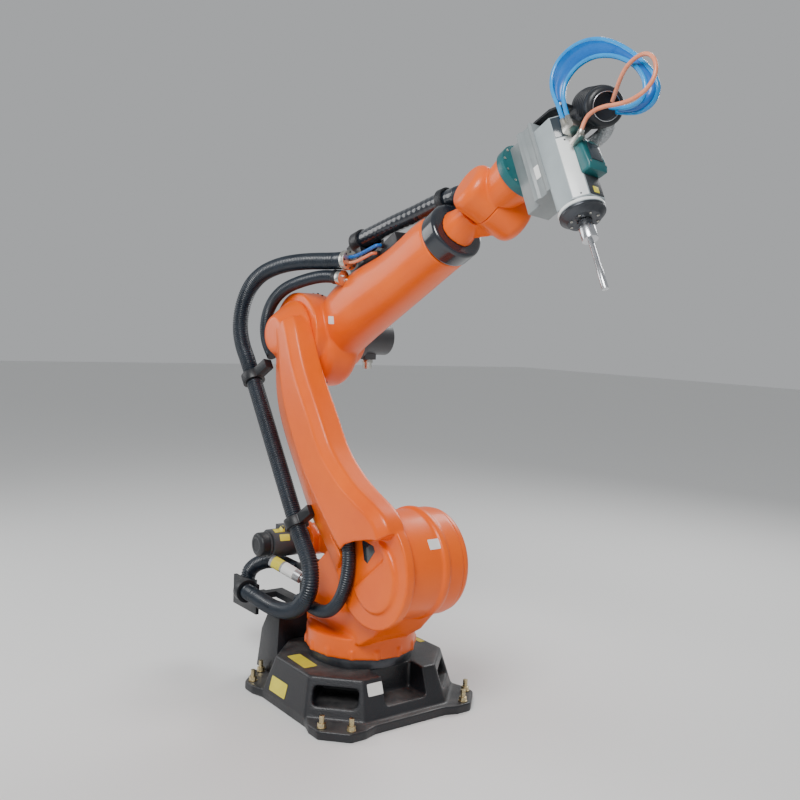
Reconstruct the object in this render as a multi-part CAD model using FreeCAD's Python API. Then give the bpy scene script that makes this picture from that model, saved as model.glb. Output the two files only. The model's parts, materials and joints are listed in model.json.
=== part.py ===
"""Six-axis industrial robot arm with a milling spindle and an outside dress pack.

Millimetres. The origin is on the floor, on the axis that the column turns about.
+X points to the front of the robot, +Y to its left and +Z up.
"""
import FreeCAD
import Part
import math
import os

V = FreeCAD.Vector
X, Y, Z = V(1, 0, 0), V(0, 1, 0), V(0, 0, 1)

# ---- arm lengths and the stored pose -------------------------------------
SHOULDER_X = 350.0        # column axis to shoulder axis
SHOULDER_Z = 675.0        # floor to shoulder axis
LINK_LENGTH = 1150.0      # shoulder axis to elbow axis
LINK_LEAN = 38.32         # degrees the link arm leans back from upright
FOREARM_LIFT = 27.9       # degrees the forearm points up from level
WRIST_DROP = 41.0         # elbow axis down to the forearm's own axis
WRIST_X = 1200.0          # elbow axis to wrist centre, along the forearm
WRIST_ROLL = 55.0         # degrees the wrist is rolled about the forearm
WRIST_BEND = 2.1          # degrees the wrist is bent sideways
TOOL_TURN = 60.8          # degrees the flange is turned

SEAM = 0.5                # gap at each turning joint
REST_GAP = 0.3            # gap round a hose in its clamp
SWING_GAP = 6.0           # gap beside a piece that swings past

# ---- base -----------------------------------------------------------------
PLATE_THICK = 38.0
EAR_OUT = 404.0           # plate edge at its corner ears
EAR_CUT = 96.0
WAIST_OUT = 384.0         # plate edge between the ears
WAIST_HALF = 175.0
EAR_HALF = 236.0
EAR_ROUND = 30.0
DECK_Z = 195.0
SKIRT_FOOT = (352.0, 386.0)
SKIRT_FOOT_CUT = 176.0
SKIRT_TOP = (296.0, 346.0)
SKIRT_TOP_CUT = 160.0
WINDOW_WIDE, WINDOW_HIGH, WINDOW_DEEP = 188.0, 76.0, 110.0
WINDOW_Z = 122.0
RECESS_FROM_Y, RECESS_TO_Y = -92.0, 118.0
RECESS_DEEP, RECESS_FLOOR = 86.0, 80.0
BOLT_FAR, BOLT_NEAR = 373.0, 288.0
STUD_R, STUD_TOP = 10.0, 88.0
STUD_CLEAR = 2.0
NUT_R, NUT_HIGH = 17.0, 16.0
WASHER_R, WASHER_THICK = 19.0, 4.0
BEARING_R, COLUMN_FOOT_Z = 226.0, 235.0
BOX_Y = (-264.0, 160.0)   # connection box behind the base
BOX_DEEP, BOX_TOP = 104.0, 300.0

# ---- column ---------------------------------------------------------------
FOOT_R, FOOT_HIGH = 240.0, 92.0
SPIGOT_R, SPIGOT_DEEP = 150.0, 50.0
LUG_COUNT, LUG_R = 14, 20.0
NECK_NEAR_Y, NECK_FAR_Y = -158.0, 90.0
DRUM_R = 220.0
DRUM_RIM_R, DRUM_RIM_WIDE = 230.0, 26.0
DRUM_FAR_Y = 92.0
CAP_LONG, CAP_ROUND = 40.0, 34.0
SHOULDER_FACE_Y = -175.0
SHELF_Z, SHELF_THICK = 312.0, 28.0
MOTOR_AT = (-452.0, 606.0)
MOTOR_R, MOTOR_LONG, MOTOR_FAR_Y = 66.0, 190.0, -36.0
MOTOR_CAP_R, MOTOR_CAP_LONG = 56.0, 62.0
FLANGE_R, FLANGE_THICK = 88.0, 34.0
TURN_MOTOR_AT = (-322.0, -58.0)
TURN_MOTOR_R, TURN_MOTOR_HIGH = 60.0, 190.0
CYLINDER_R = 27.0

# ---- link arm -------------------------------------------------------------
LINK_IN_Y = SHOULDER_FACE_Y - SEAM
HUB_R, HUB_THICK = 246.0, 40.0
HUB_BOSS_R, HUB_BOSS_HIGH = 150.0, 14.0
ELBOW_R, HEAD_WAIST_Y, HEAD_FACE_R = 154.0, -186.0, 76.0
SHELL_WALL = 10.0
# along the arm: front edge, rear edge, crest, outer face
LINK_RIBS = [
    (30.0, -238.0, 238.0, 10.0, -286.0),
    (140.0, -236.0, 240.0, 40.0, -292.0),
    (260.0, -172.0, 258.0, 62.0, -298.0),
    (390.0, -120.0, 282.0, 80.0, -300.0),
    (500.0, -98.0, 284.0, 90.0, -302.0),
    (700.0, -104.0, 280.0, 84.0, -302.0),
    (880.0, -110.0, 264.0, 56.0, -300.0),
    (1020.0, -132.0, 214.0, 0.0, -296.0),
    (1150.0, -140.0, 118.0, -40.0, -288.0),
]
FLANK_Y = -212.0
# lower edge of the shell over the hub, and the hollow behind it: along, across
HOSE_SLOT_X, HOSE_SLOT_Y = (1142.0, 1340.0), (-243.0, LINK_IN_Y + 1)
MOUTH_EDGE = [(92, 260), (96, 120), (114, 62), (117, 12), (96, -57), (56, -150), (14, -221), (-24, -262)]
HOLLOW = (60.0, 400.0, -84.0, 96.0)

# ---- forearm --------------------------------------------------------------
ELBOW_FACE_Y = LINK_IN_Y + SEAM
ELBOW_HUB_R, ELBOW_HUB_FAR = 190.0, 128.0
HUB_TAPER_R, HUB_TAPER_Y = 140.0, -60.0
BELLY_R, BELLY_Y, BELLY_DROP = 180.0, (-136.0, 62.0), 58.0
# along the forearm: top, bottom, half width, all about the elbow axis
FOREARM_RIBS = [
    (0.0, 160.0, -175.0, 122.0),
    (240.0, 131.0, -153.0, 127.0),
    (386.0, 127.0, -151.0, 126.0),
    (554.0, 96.0, -151.0, 119.0),
    (756.0, 81.0, -151.0, 113.0),
    (915.0, 71.0, -151.0, 109.0),
]
RING_START, RING_LONG, RING_R = 915.0, 88.0, 117.0
ELBOW_MOTOR_R, ELBOW_MOTOR_FAR = 84.0, 325.0
ELBOW_PLATE_R, ELBOW_PLATE_THICK = 104.0, 46.0

# ---- wrist ----------------------------------------------------------------
NECK_HIGH, NECK_HALF_WIDE = 74.0, 60.0
LOBE_R, LOBE_ROUND, LOBE_END = 93.0, 48.0, 152.0
BARREL_R, BARREL_ROUND, BARREL_END = 93.0, 38.0, -116.0
WRIST_SEAM_Z = 12.0
FACE_R, FACE_AT = 94.0, 163.0
HOUSING_R, HOUSING_AT = 76.0, 30.0
BEND_LIMIT = 95.0        # degrees the wrist bends to either side of straight

# ---- tool -----------------------------------------------------------------
ADAPTER_R, ADAPTER_THICK = 100.0, 34.0
BRACKET_TOP, BRACKET_FOOT = -72.0, 206.0
# across the bracket: distance from its face, half width
BRACKET_STEPS = [(0, 48), (60, 48), (66, 78), (84, 78), (92, 70), (118, 70), (126, 78), (140, 78)]
SPINDLE_AXIS = 375.0      # wrist centre to spindle axis
BODY_REAR, BODY_FRONT, BODY_HALF = 38.0, 76.0, 74.0
BODY_TOP, BODY_FOOT = -30.0, 296.0
BODY_CHAMFER = 40.0
COLLAR_HIGH = 14.0
NOSE_R, NOSE_TIP_R, NOSE_LONG = 76.0, 56.0, 30.0
SHAFT_R, SHAFT_GAP = 24.0, 0.5
CHUCK_R, CHUCK_FOOT = 27.0, 412.0
CUTTER_R, CUTTER_TIP = 9.0, 596.0

# ---- hoses ----------------------------------------------------------------
BIG_HOSE_R, SMALL_HOSE_R = 37.5, 28.0
AIR_R, SIGNAL_R = 8.0, 7.0
CLAMP_WALL, CLAMP_WIDE = 11.0, 44.0
RAIL_NEAR_Y = -46.0


def unit(v):
    v = V(v)
    v.normalize()
    return v


def axes_at(origin, x_dir, z_dir):
    """A placement with its X along x_dir and its Z as near to z_dir as it can be."""
    x = unit(x_dir)
    y = unit(V(z_dir).cross(x))
    z = x.cross(y)
    m = FreeCAD.Matrix(
        x.x, y.x, z.x, origin.x,
        x.y, y.y, z.y, origin.y,
        x.z, y.z, z.z, origin.z,
        0, 0, 0, 1,
    )
    return FreeCAD.Placement(m)


def turned(v, axis, degrees):
    return FreeCAD.Rotation(axis, degrees).multVec(v)


def box(x, y, z):
    """A box from three (low, high) pairs."""
    return Part.makeBox(x[1] - x[0], y[1] - y[0], z[1] - z[0], V(x[0], y[0], z[0]))


def rod(start, end, r):
    way = V(end) - V(start)
    return Part.makeCylinder(r, way.Length, V(start), way)


def cone(start, end, r0, r1):
    way = V(end) - V(start)
    return Part.makeCone(r0, r1, way.Length, V(start), way)


def prism(points, way):
    """A flat outline pushed along way."""
    points = [V(p) for p in points]
    return Part.Face(Part.makePolygon(points + points[:1])).extrude(V(way))


def loft(outlines, ruled=False):
    wires = [Part.makePolygon([V(p) for p in o] + [V(o[0])]) for o in outlines]
    return Part.makeLoft(wires, True, ruled)


def oval(x, top, bottom, half, n=24):
    """A rounded outline across a forearm at x."""
    mid, high = (top + bottom) / 2, (top - bottom) / 2
    pts = []
    for k in range(n):
        a = 2 * math.pi * k / n
        c, s = math.cos(a), math.sin(a)
        wide, tall = (math.copysign(abs(t) ** 0.86, t) for t in (c, s))
        pts.append(V(x, half * wide, mid + high * tall))
    curve = Part.BSplineCurve()
    curve.interpolate(pts, PeriodicFlag=True)
    return Part.Wire(curve.toShape())


def joined(*shapes):
    out = shapes[0]
    for s in shapes[1:]:
        out = out.fuse(s)
    return out.removeSplitter()


def less(shape, *cuts):
    for c in cuts:
        shape = shape.cut(c)
    return shape


def round_edges(shape, pick, r):
    edges = [e for e in shape.Edges if pick(e)]
    return shape.makeFillet(r, edges) if edges else shape


def routed(points):
    """Straight runs joined by tangent arcs."""
    points = [V(p) for p in points]
    edges, at = [], points[0]
    for a, b, c in zip(points, points[1:], points[2:]):
        into, out = unit(b - a), unit(c - b)
        half = into.getAngle(out) / 2
        trim = 0.45 * min((b - a).Length, (c - b).Length)
        start, end = b - into * trim, b + out * trim
        middle = b + unit(out - into) * (trim / math.tan(half)) * (1 / math.cos(half) - 1)
        edges.append(Part.LineSegment(at, start).toShape())
        edges.append(Part.Arc(start, middle, end).toShape())
        at = end
    edges.append(Part.LineSegment(at, points[-1]).toShape())
    return Part.Wire(edges)


def tightest(points):
    """The smallest radius of the arcs along a route."""
    points = [V(p) for p in points]
    radii = []
    for a, b, c in zip(points, points[1:], points[2:]):
        half = unit(b - a).getAngle(unit(c - b)) / 2
        if half > 0.001:
            radii.append(0.45 * min((b - a).Length, (c - b).Length) / math.tan(half))
    return min(radii, default=math.inf)


def hose(points, r):
    """A round hose along a route, closed at both ends."""
    path = routed(points)
    first = path.Edges[0]
    ring = Part.Wire(Part.makeCircle(r, V(points[0]), first.tangentAt(first.FirstParameter)))
    tube = path.makePipeShell([ring], True, True)
    whole = tube.Volume / (math.pi * r * r * path.Length)
    print(f"hose {2 * r:.0f} thick, {path.Length:.0f} long, tightest arc {tightest(points):.0f}"
          f" = {tightest(points) / (2 * r):.1f} diameters, volume {whole:.4f} of section by length")
    return tube


def strap(centre, along, r, reach_to, wide=CLAMP_WIDE, wall=CLAMP_WALL, bar=30.0):
    """A clamp ring round a hose, with a bar that reaches to reach_to."""
    centre, along = V(centre), unit(along)
    a, b = centre - along * wide / 2, centre + along * wide / 2
    arm = V(reach_to) - centre
    side = unit(arm)
    flat = unit(along.cross(side))
    foot = centre + side * (r + 1)
    corners = [
        foot - flat * bar / 2 - along * wide / 2,
        foot + flat * bar / 2 - along * wide / 2,
        foot + flat * bar / 2 + along * wide / 2,
        foot - flat * bar / 2 + along * wide / 2,
    ]
    block = prism(corners, side * (arm.Length - r - 1))
    return less(joined(rod(a, b, r + wall), block), rod(a - along * 5, b + along * 5, r + REST_GAP))


# ---- where each moving part sits -----------------------------------------
SHOULDER = V(SHOULDER_X, 0, SHOULDER_Z)
LINK_UP = turned(Z, Y, -LINK_LEAN)
ELBOW = SHOULDER + LINK_UP * LINK_LENGTH
FOREARM_OUT = turned(X, Y, -FOREARM_LIFT)
FOREARM_TOP = turned(Z, Y, -FOREARM_LIFT)
WRIST = ELBOW + FOREARM_OUT * WRIST_X - FOREARM_TOP * WRIST_DROP
BEND_AXIS = turned(-FOREARM_TOP, FOREARM_OUT, WRIST_ROLL)
TOOL_OUT = turned(FOREARM_OUT, BEND_AXIS, -WRIST_BEND)
SPINDLE_WAY = turned(BEND_AXIS, TOOL_OUT, -TOOL_TURN)

# local axes: X along the part
ON_LINK = axes_at(SHOULDER, LINK_UP, turned(-X, Y, -LINK_LEAN))
ON_FOREARM = axes_at(ELBOW, FOREARM_OUT, FOREARM_TOP)
ON_HAND = axes_at(WRIST, FOREARM_OUT, BEND_AXIS)
ON_SWIVEL = axes_at(WRIST, TOOL_OUT, BEND_AXIS)
ON_TOOL = axes_at(WRIST, TOOL_OUT, SPINDLE_WAY)


def placed(shape, where):
    shape = shape.copy()
    shape.Placement = where.multiply(shape.Placement)
    return shape


def on_link(x, y, z):
    return ON_LINK.multVec(V(x, y, z))


def on_forearm(x, y, z):
    return ON_FOREARM.multVec(V(x, y, z))


def on_tool(x, y, z):
    return ON_TOOL.multVec(V(x, y, z))


# ---- base ----------------------------------------------------------------
def octagon(half_x, half_y, cut, z):
    pts = [
        (half_x, -half_y + cut), (half_x, half_y - cut), (half_x - cut, half_y), (-half_x + cut, half_y),
        (-half_x, half_y - cut), (-half_x, -half_y + cut), (-half_x + cut, -half_y), (half_x - cut, -half_y),
    ]
    return [V(x, y, z) for x, y in pts]


def plate_outline():
    side = [
        (EAR_OUT, -EAR_OUT + EAR_CUT), (EAR_OUT, -EAR_HALF), (WAIST_OUT, -WAIST_HALF),
        (WAIST_OUT, WAIST_HALF), (EAR_OUT, EAR_HALF), (EAR_OUT, EAR_OUT - EAR_CUT),
    ]
    pts = []
    for k in range(4):
        spin = FreeCAD.Rotation(Z, 90 * k)
        pts += [spin.multVec(V(x, y, 0)) for x, y in side]
    return pts


def bolt_places():
    a, b = BOLT_FAR, BOLT_NEAR
    return [(x * p, y * q) for x, y in ((a, b), (b, a)) for p in (1, -1) for q in (1, -1)]


def corner_window(sx, sy):
    """A rounded pocket in one corner face of the skirt."""
    window = box((-WINDOW_DEEP, 80), (-WINDOW_WIDE / 2, WINDOW_WIDE / 2),
                 (WINDOW_Z - WINDOW_HIGH / 2, WINDOW_Z + WINDOW_HIGH / 2))
    window = round_edges(window, lambda e: abs(e.tangentAt(e.FirstParameter).x) > 0.9, 20)
    x = (SKIRT_FOOT[0] + SKIRT_TOP[0] - SKIRT_FOOT_CUT / 2 - SKIRT_TOP_CUT / 2 - 84) / 2
    y = (SKIRT_FOOT[1] + SKIRT_TOP[1] - SKIRT_FOOT_CUT / 2 - SKIRT_TOP_CUT / 2 - 84) / 2
    where = FreeCAD.Placement(V(x * sx, y * sy, 0), FreeCAD.Rotation(Z, math.degrees(math.atan2(sy, sx))))
    return placed(window, where)


def base_casting():
    plate = prism(plate_outline(), Z * PLATE_THICK)
    plate = round_edges(plate, lambda e: e.BoundBox.ZLength > PLATE_THICK - 1
                        and max(abs(e.CenterOfMass.x), abs(e.CenterOfMass.y)) > EAR_OUT - 1, EAR_ROUND)
    skirt = loft([
        octagon(*SKIRT_FOOT, SKIRT_FOOT_CUT, PLATE_THICK - 1),
        octagon(*SKIRT_TOP, SKIRT_TOP_CUT, DECK_Z),
    ], ruled=True)
    windows = [corner_window(sx, sy) for sx in (1, -1) for sy in (1, -1)]
    recess = box((SKIRT_TOP[0] - RECESS_DEEP, SKIRT_FOOT[0] + 20), (RECESS_FROM_Y, RECESS_TO_Y),
                 (RECESS_FLOOR, DECK_Z + 10))
    holes = [rod(V(x, y, -5), V(x, y, PLATE_THICK + 5), STUD_R + STUD_CLEAR) for x, y in bolt_places()]
    seat = rod(V(0, 0, DECK_Z - SPIGOT_DEEP - 10), V(0, 0, DECK_Z + 5), SPIGOT_R + SEAM)
    return less(joined(plate, skirt), *windows, recess, seat, *holes)


def bearing_ring():
    ring = rod(V(0, 0, DECK_Z), V(0, 0, COLUMN_FOOT_Z - SEAM), BEARING_R)
    return less(ring, rod(V(0, 0, DECK_Z - 1), V(0, 0, COLUMN_FOOT_Z), SPIGOT_R + SEAM))


def anchor_bolts():
    parts = []
    for x, y in bolt_places():
        washer = rod(V(x, y, PLATE_THICK), V(x, y, PLATE_THICK + WASHER_THICK), WASHER_R)
        nut = prism([V(x + NUT_R * math.cos(math.pi * k / 3), y + NUT_R * math.sin(math.pi * k / 3),
                       PLATE_THICK + WASHER_THICK - 0.1) for k in range(6)], Z * NUT_HIGH)
        parts.append(joined(rod(V(x, y, 0), V(x, y, STUD_TOP), STUD_R), washer, nut))
    return Part.makeCompound(parts)


BOX_BACK = -SKIRT_FOOT[0] - BOX_DEEP


def connection_box(base):
    top_x = -SKIRT_TOP[0] - 20
    side = [V(-SKIRT_TOP[0] + 20, 0, PLATE_THICK), V(top_x, 0, BOX_TOP), V(BOX_BACK + 40, 0, BOX_TOP),
            V(BOX_BACK, 0, BOX_TOP - 90), V(BOX_BACK, 0, PLATE_THICK)]
    shell = prism([p + Y * BOX_Y[0] for p in side], Y * (BOX_Y[1] - BOX_Y[0]))
    lean = prism([V(BOX_BACK - 1, BOX_Y[0] - 1, PLATE_THICK - 1),
                  V(BOX_BACK - 1, BOX_Y[0] + 32, BOX_TOP + 1),
                  V(BOX_BACK - 1, BOX_Y[0] - 1, BOX_TOP + 1)], X * (BOX_DEEP + SKIRT_FOOT[0]))
    studs = [rod(V(x, y, 0), V(x, y, STUD_TOP + 20), WASHER_R + 4) for x, y in bolt_places()]
    return less(shell, lean, base, *studs)


def connector_panel():
    plate = box((BOX_BACK - 6, BOX_BACK), (-150, 140), (62, 196))
    plugs = [rod(V(BOX_BACK - 4, y, z), V(BOX_BACK - 34, y, z), r)
             for y, z, r in ((-100, 150, 26), (-30, 150, 26), (45, 152, 20), (105, 152, 20), (-90, 92, 18),
                             (-30, 92, 14))]
    return joined(plate, *plugs)


# ---- column --------------------------------------------------------------
MOTOR_X, MOTOR_Z = MOTOR_AT
GEAR_Y = MOTOR_FAR_Y + FLANGE_THICK


def at_motor(y):
    return V(MOTOR_X, y, MOTOR_Z)


def rotating_column():
    top = COLUMN_FOOT_Z + FOOT_HIGH
    foot = rod(V(0, 0, COLUMN_FOOT_Z), V(0, 0, top), FOOT_R)
    spigot = rod(V(0, 0, DECK_Z - SPIGOT_DEEP), V(0, 0, COLUMN_FOOT_Z + 10), SPIGOT_R)
    lugs = []
    for k in range(LUG_COUNT):
        a = math.radians(360 / LUG_COUNT * k + 8)
        c = V((FOOT_R - 12) * math.cos(a), (FOOT_R - 12) * math.sin(a), COLUMN_FOOT_Z)
        lugs.append(rod(c, c + Z * (FOOT_HIGH * 0.42), LUG_R))
    side = [V(-205, 0, top - 20), V(212, 0, top - 20), V(316, 0, top + 46), V(440, 0, SHOULDER_Z - 170),
            V(SHOULDER_X + 60, 0, SHOULDER_Z), V(SHOULDER_X - 120, 0, SHOULDER_Z + 150),
            V(40, 0, SHOULDER_Z + 70),
            V(-130, 0, SHOULDER_Z - 90), V(-215, 0, top + 90)]
    neck = prism([p + Y * NECK_NEAR_Y for p in side], Y * (NECK_FAR_Y - NECK_NEAR_Y))
    drum = rod(SHOULDER + Y * SHOULDER_FACE_Y, SHOULDER + Y * DRUM_FAR_Y, DRUM_R)
    rim = rod(SHOULDER - Y * DRUM_RIM_WIDE / 2, SHOULDER + Y * DRUM_RIM_WIDE / 2, DRUM_RIM_R)
    flange = rod(at_motor(MOTOR_FAR_Y), at_motor(GEAR_Y), FLANGE_R)
    gear = rod(at_motor(GEAR_Y), at_motor(GEAR_Y + 86), FLANGE_R - 12)
    arm = box((MOTOR_X, 0), (GEAR_Y + 2, GEAR_Y + 82), (MOTOR_Z - 48, MOTOR_Z + 40))
    shelf = box((TURN_MOTOR_AT[0] - TURN_MOTOR_R, -180),
                (TURN_MOTOR_AT[1] - TURN_MOTOR_R, TURN_MOTOR_AT[1] + TURN_MOTOR_R),
                (SHELF_Z, SHELF_Z + SHELF_THICK))
    return joined(foot, spigot, *lugs, neck, drum, rim, flange, gear, arm, shelf)


def drum_end_cap():
    far = DRUM_FAR_Y + CAP_LONG
    cap = rod(SHOULDER + Y * DRUM_FAR_Y, SHOULDER + Y * far, DRUM_R - 4)
    return round_edges(cap, lambda e: abs(e.CenterOfMass.y - far) < 1, CAP_ROUND)


def shoulder_motor():
    near = MOTOR_FAR_Y - MOTOR_LONG
    return joined(rod(at_motor(near), at_motor(MOTOR_FAR_Y), MOTOR_R),
                  box((MOTOR_X - 34, MOTOR_X + 34), (near + 56, MOTOR_FAR_Y - 40),
                      (MOTOR_Z + 30, MOTOR_Z + MOTOR_R + 16)))


def motor_cap():
    near = MOTOR_FAR_Y - MOTOR_LONG
    cap = rod(at_motor(near - MOTOR_CAP_LONG), at_motor(near), MOTOR_CAP_R)
    return round_edges(cap, lambda e: abs(e.CenterOfMass.y - near + MOTOR_CAP_LONG) < 1, 16)


def turn_motor():
    x, y = TURN_MOTOR_AT
    low, high = SHELF_Z + SHELF_THICK, SHELF_Z + SHELF_THICK + TURN_MOTOR_HIGH
    terminal = box((x - TURN_MOTOR_R - 18, x), (y - 44, y + 30), (high - 96, high - 16))
    return joined(rod(V(x, y, low), V(x, y, high), TURN_MOTOR_R),
                  box((x - 56, x + 56), (y - 56, y + 56), (low, low + 26)), terminal)


CYLINDER_FROM, CYLINDER_TO = V(-395, -235, 540), V(-250, -165, 486)


def accumulator(column):
    way = unit(CYLINDER_TO - CYLINDER_FROM)
    neck = less(rod(CYLINDER_TO - way * 5, CYLINDER_TO + way * 95, 14), column)
    return joined(rod(CYLINDER_FROM, CYLINDER_TO, CYLINDER_R), max(neck.Solids, key=lambda s: s.Volume))


# free hoses beside the column: outer, inner and the one behind the bracket
COLUMN_LOOP = [(-45, -277, 682), (22, -283, 612), (30, -288, 510), (-40, -288, 425), (-138, -286, 378),
               (-247, -283, 357), (-356, -279, 353), (-465, -275, 357), (-574, -272, 362)]
INNER_LOOP = [(230.8, -244.2, 773), (246, -244.2, 702), (243, -246, 631), (223, -246, 562), (186, -246, 501),
              (132, -242, 454), (68, -234, 425), (-1, -222, 410), (-72, -210, 403), (-143, -200, 401),
              (-214, -194, 400)]
REAR_RISER = [(-734, -178, 336), (-750, -170, 392), (-711, -152, 438), (-655, -135, 467), (-594, -118, 484),
              (-530, -102, 484), (-466, -90, 474), (TURN_MOTOR_AT[0] - TURN_MOTOR_R - 18 - SEAM, -90, 474)]
RING_WALL, RING_WIDE = 17.0, 40.0


BRACKET_PLATE_X = (-764.0, -530.0)
BRACKET_PLATE_Y = (-238.0, -222.0)


def rear_hose_bracket():
    """The standing plate behind the motor that ends one hose and starts the next."""
    end, before = V(*COLUMN_LOOP[-1]), V(*COLUMN_LOOP[-2])
    way = unit(end - before)
    ring = rod(end - way * RING_WIDE / 2, end + way * RING_WIDE / 2, BIG_HOSE_R + RING_WALL)
    start, after = V(*REAR_RISER[0]), V(*REAR_RISER[1])
    out = unit(after - start)
    cup = rod(start - out * 3, start + out * 24, BIG_HOSE_R + 10)
    plate = box(BRACKET_PLATE_X, BRACKET_PLATE_Y, (250, 392))
    arm = box((-600, -556), (BRACKET_PLATE_Y[0], -60), (SHELF_Z, SHELF_Z + SHELF_THICK))
    post = box((-600, TURN_MOTOR_AT[0] - TURN_MOTOR_R), (-118, -60), (SHELF_Z, SHELF_Z + SHELF_THICK))
    tray = box((BRACKET_PLATE_X[0], -556), (BRACKET_PLATE_Y[1] - 2, -150), (288, 304))
    rib = box((-616, -600), (BRACKET_PLATE_Y[1] - 2, -150), (290, SHELF_Z + SHELF_THICK))
    body = joined(ring, plate, tray, rib, arm, post, cup)
    return less(body, rod(end - way * 60, end + way * 60, BIG_HOSE_R + REST_GAP),
                rod(start, start + out * 60, BIG_HOSE_R + REST_GAP))


# ---- link arm ------------------------------------------------------------
def link_outline(x, front, rear, crest, outer):
    return [V(x, LINK_IN_Y, front), V(x, outer + 34, front), V(x, outer, front + 40), V(x, outer, crest),
            V(x, FLANK_Y, rear), V(x, LINK_IN_Y, rear)]


def link_arm():
    hub_y = LINK_IN_Y - HUB_THICK
    outer = min(rib[4] for rib in LINK_RIBS)
    shell = loft([link_outline(*rib) for rib in LINK_RIBS])
    below = [V(x, hub_y, z) for x, z in MOUTH_EDGE]
    below += [V(-400, hub_y, below[-1].z), V(-400, hub_y, below[0].z)]
    shell = less(shell, prism(below, Y * (outer - hub_y - 50)))
    hub = rod(V(0, LINK_IN_Y, 0), V(0, hub_y, 0), HUB_R)
    boss = rod(V(-36, hub_y, -12), V(-36, hub_y - HUB_BOSS_HIGH, -12), HUB_BOSS_R)
    boss = less(boss, box((-20, 200), (hub_y - 60, hub_y + 1), (-120, 200)))
    x0, x1, z0, z1 = HOLLOW
    hollow = box((x0, x1), (-286 + SHELL_WALL, hub_y), (z0, z1))
    hollow = round_edges(hollow, lambda e: e.BoundBox.YLength > 20, 24)
    face = -288.0
    waist = HEAD_WAIST_Y
    head = joined(rod(V(LINK_LENGTH, LINK_IN_Y, 0), V(LINK_LENGTH, waist, 0), ELBOW_R),
                  cone(V(LINK_LENGTH, waist, 0), V(LINK_LENGTH, face, 0), ELBOW_R, HEAD_FACE_R))
    head = round_edges(head, lambda e: abs(e.CenterOfMass.y - face) < 1, 22)
    body = less(joined(shell, head), hollow)
    slot = box(HOSE_SLOT_X, HOSE_SLOT_Y, (104, 270))
    return less(joined(body, hub, boss), slot)


# dress pack on the link arm, in the link arm's own axes
UPPER_STRAP, LOWER_STRAP = (1112, -268, 290), (372, -270, 319)
END_GAP = 0.3
LINK_RUN = [LOWER_STRAP, (617, -270, 309), (865, -269, 299), UPPER_STRAP]
ELBOW_LOOP = [(1112.6, -268, 290), (1212, -267.6, 286.4), (1308, -265, 295), (1402, -259, 275),
              (1480, -248, 212),
              (1524, -233, 124), (1521, -217, 29), (1487, -201, -62), (1440, -185, -148), (1384, -168, -230),
              (1322, -151, -310), (1258, -133, -387), (1199, -115, -466)]
INNER_ELBOW = [(1150, -212, 162), (1210, -212, 171), (1268, -212, 162), (1314, -212, 129), (1342, -212, 78),
               (1353, -212, 18), (1350, -208, -44), (1336, -200, -107), (1306, -186, -180),
               (1277, -171, -240),
               (1248, -156, -292), (1214, -142, -338), (1172, -129, -382)]


def link_hose():
    points = [on_link(*p) for p in LINK_RUN]
    points[0] += unit(points[1] - points[0]) * END_GAP
    points[-1] += unit(points[-2] - points[-1]) * END_GAP
    return hose(points, BIG_HOSE_R)


def column_hose():
    start = on_link(*LOWER_STRAP)
    way = unit(start - on_link(*LINK_RUN[1]))
    return hose([start + way * END_GAP, start + way * 60] + COLUMN_LOOP, BIG_HOSE_R)


def elbow_hose():
    return hose([on_link(*p) for p in ELBOW_LOOP], BIG_HOSE_R)


def link_straps(arm):
    """The two clamps that hold the hose behind the link arm."""
    parts = []
    for at, toward, onto in ((UPPER_STRAP, LINK_RUN[-2], (1112, -240, 172)),
                             (LOWER_STRAP, LINK_RUN[1], (372, -250, 200))):
        along = on_link(*at) - on_link(*toward)
        clamp = strap(on_link(*at), along, BIG_HOSE_R, on_link(*onto), wall=14, bar=44)
        parts.append(max(clamp.cut(arm).Solids, key=lambda s: s.Volume))
    return Part.makeCompound(parts)


# ---- forearm -------------------------------------------------------------
def forearm():
    tube = Part.makeLoft([oval(*rib) for rib in FOREARM_RIBS], True, False)
    hub = rod(V(0, ELBOW_FACE_Y, 0), V(0, HUB_TAPER_Y, 0), ELBOW_HUB_R)
    taper = cone(V(0, HUB_TAPER_Y, 0), V(0, ELBOW_HUB_FAR, 0), ELBOW_HUB_R, HUB_TAPER_R)
    belly = rod(V(0, BELLY_Y[0], -BELLY_DROP), V(0, BELLY_Y[1], -BELLY_DROP), BELLY_R)
    belly = round_edges(belly, lambda e: abs(e.Length - 2 * math.pi * BELLY_R) < 1, 60)
    return joined(tube, hub, taper, belly)


def wrist_ring():
    ring = rod(V(RING_START, 0, -WRIST_DROP), V(RING_START + RING_LONG, 0, -WRIST_DROP), RING_R)
    return round_edges(ring, lambda e: abs(e.Length - 2 * math.pi * RING_R) < 1, 16)


def elbow_motor():
    plate_y = ELBOW_HUB_FAR + ELBOW_PLATE_THICK
    return joined(rod(V(0, ELBOW_HUB_FAR, 0), V(0, plate_y, 0), ELBOW_PLATE_R),
                  rod(V(0, plate_y, 0), V(0, ELBOW_MOTOR_FAR, 0), ELBOW_MOTOR_R),
                  box((-26, 26), (200, 262), (-ELBOW_MOTOR_R - 22, 0)))


def motor_connector():
    z = -ELBOW_MOTOR_R - 22
    return joined(rod(V(0, 231, z), V(0, 231, z - 16), 26), rod(V(0, 231, z - 16), V(0, 231, z - 44), 21))


FOREARM_HOSE = [(392, 8, 266), (472, 8, 248), (560, 11, 226), (662, 18, 203), (765, 31, 178), (862, 42, 159),
                (940, 45, 137), (1012, 45, 111)]
RAIL_TOP = 128.0
GLAND_LONG = 12.0
GLANDS = [(606, 117), (566, 104)]       # along the rail and height of the two supply lines


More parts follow.
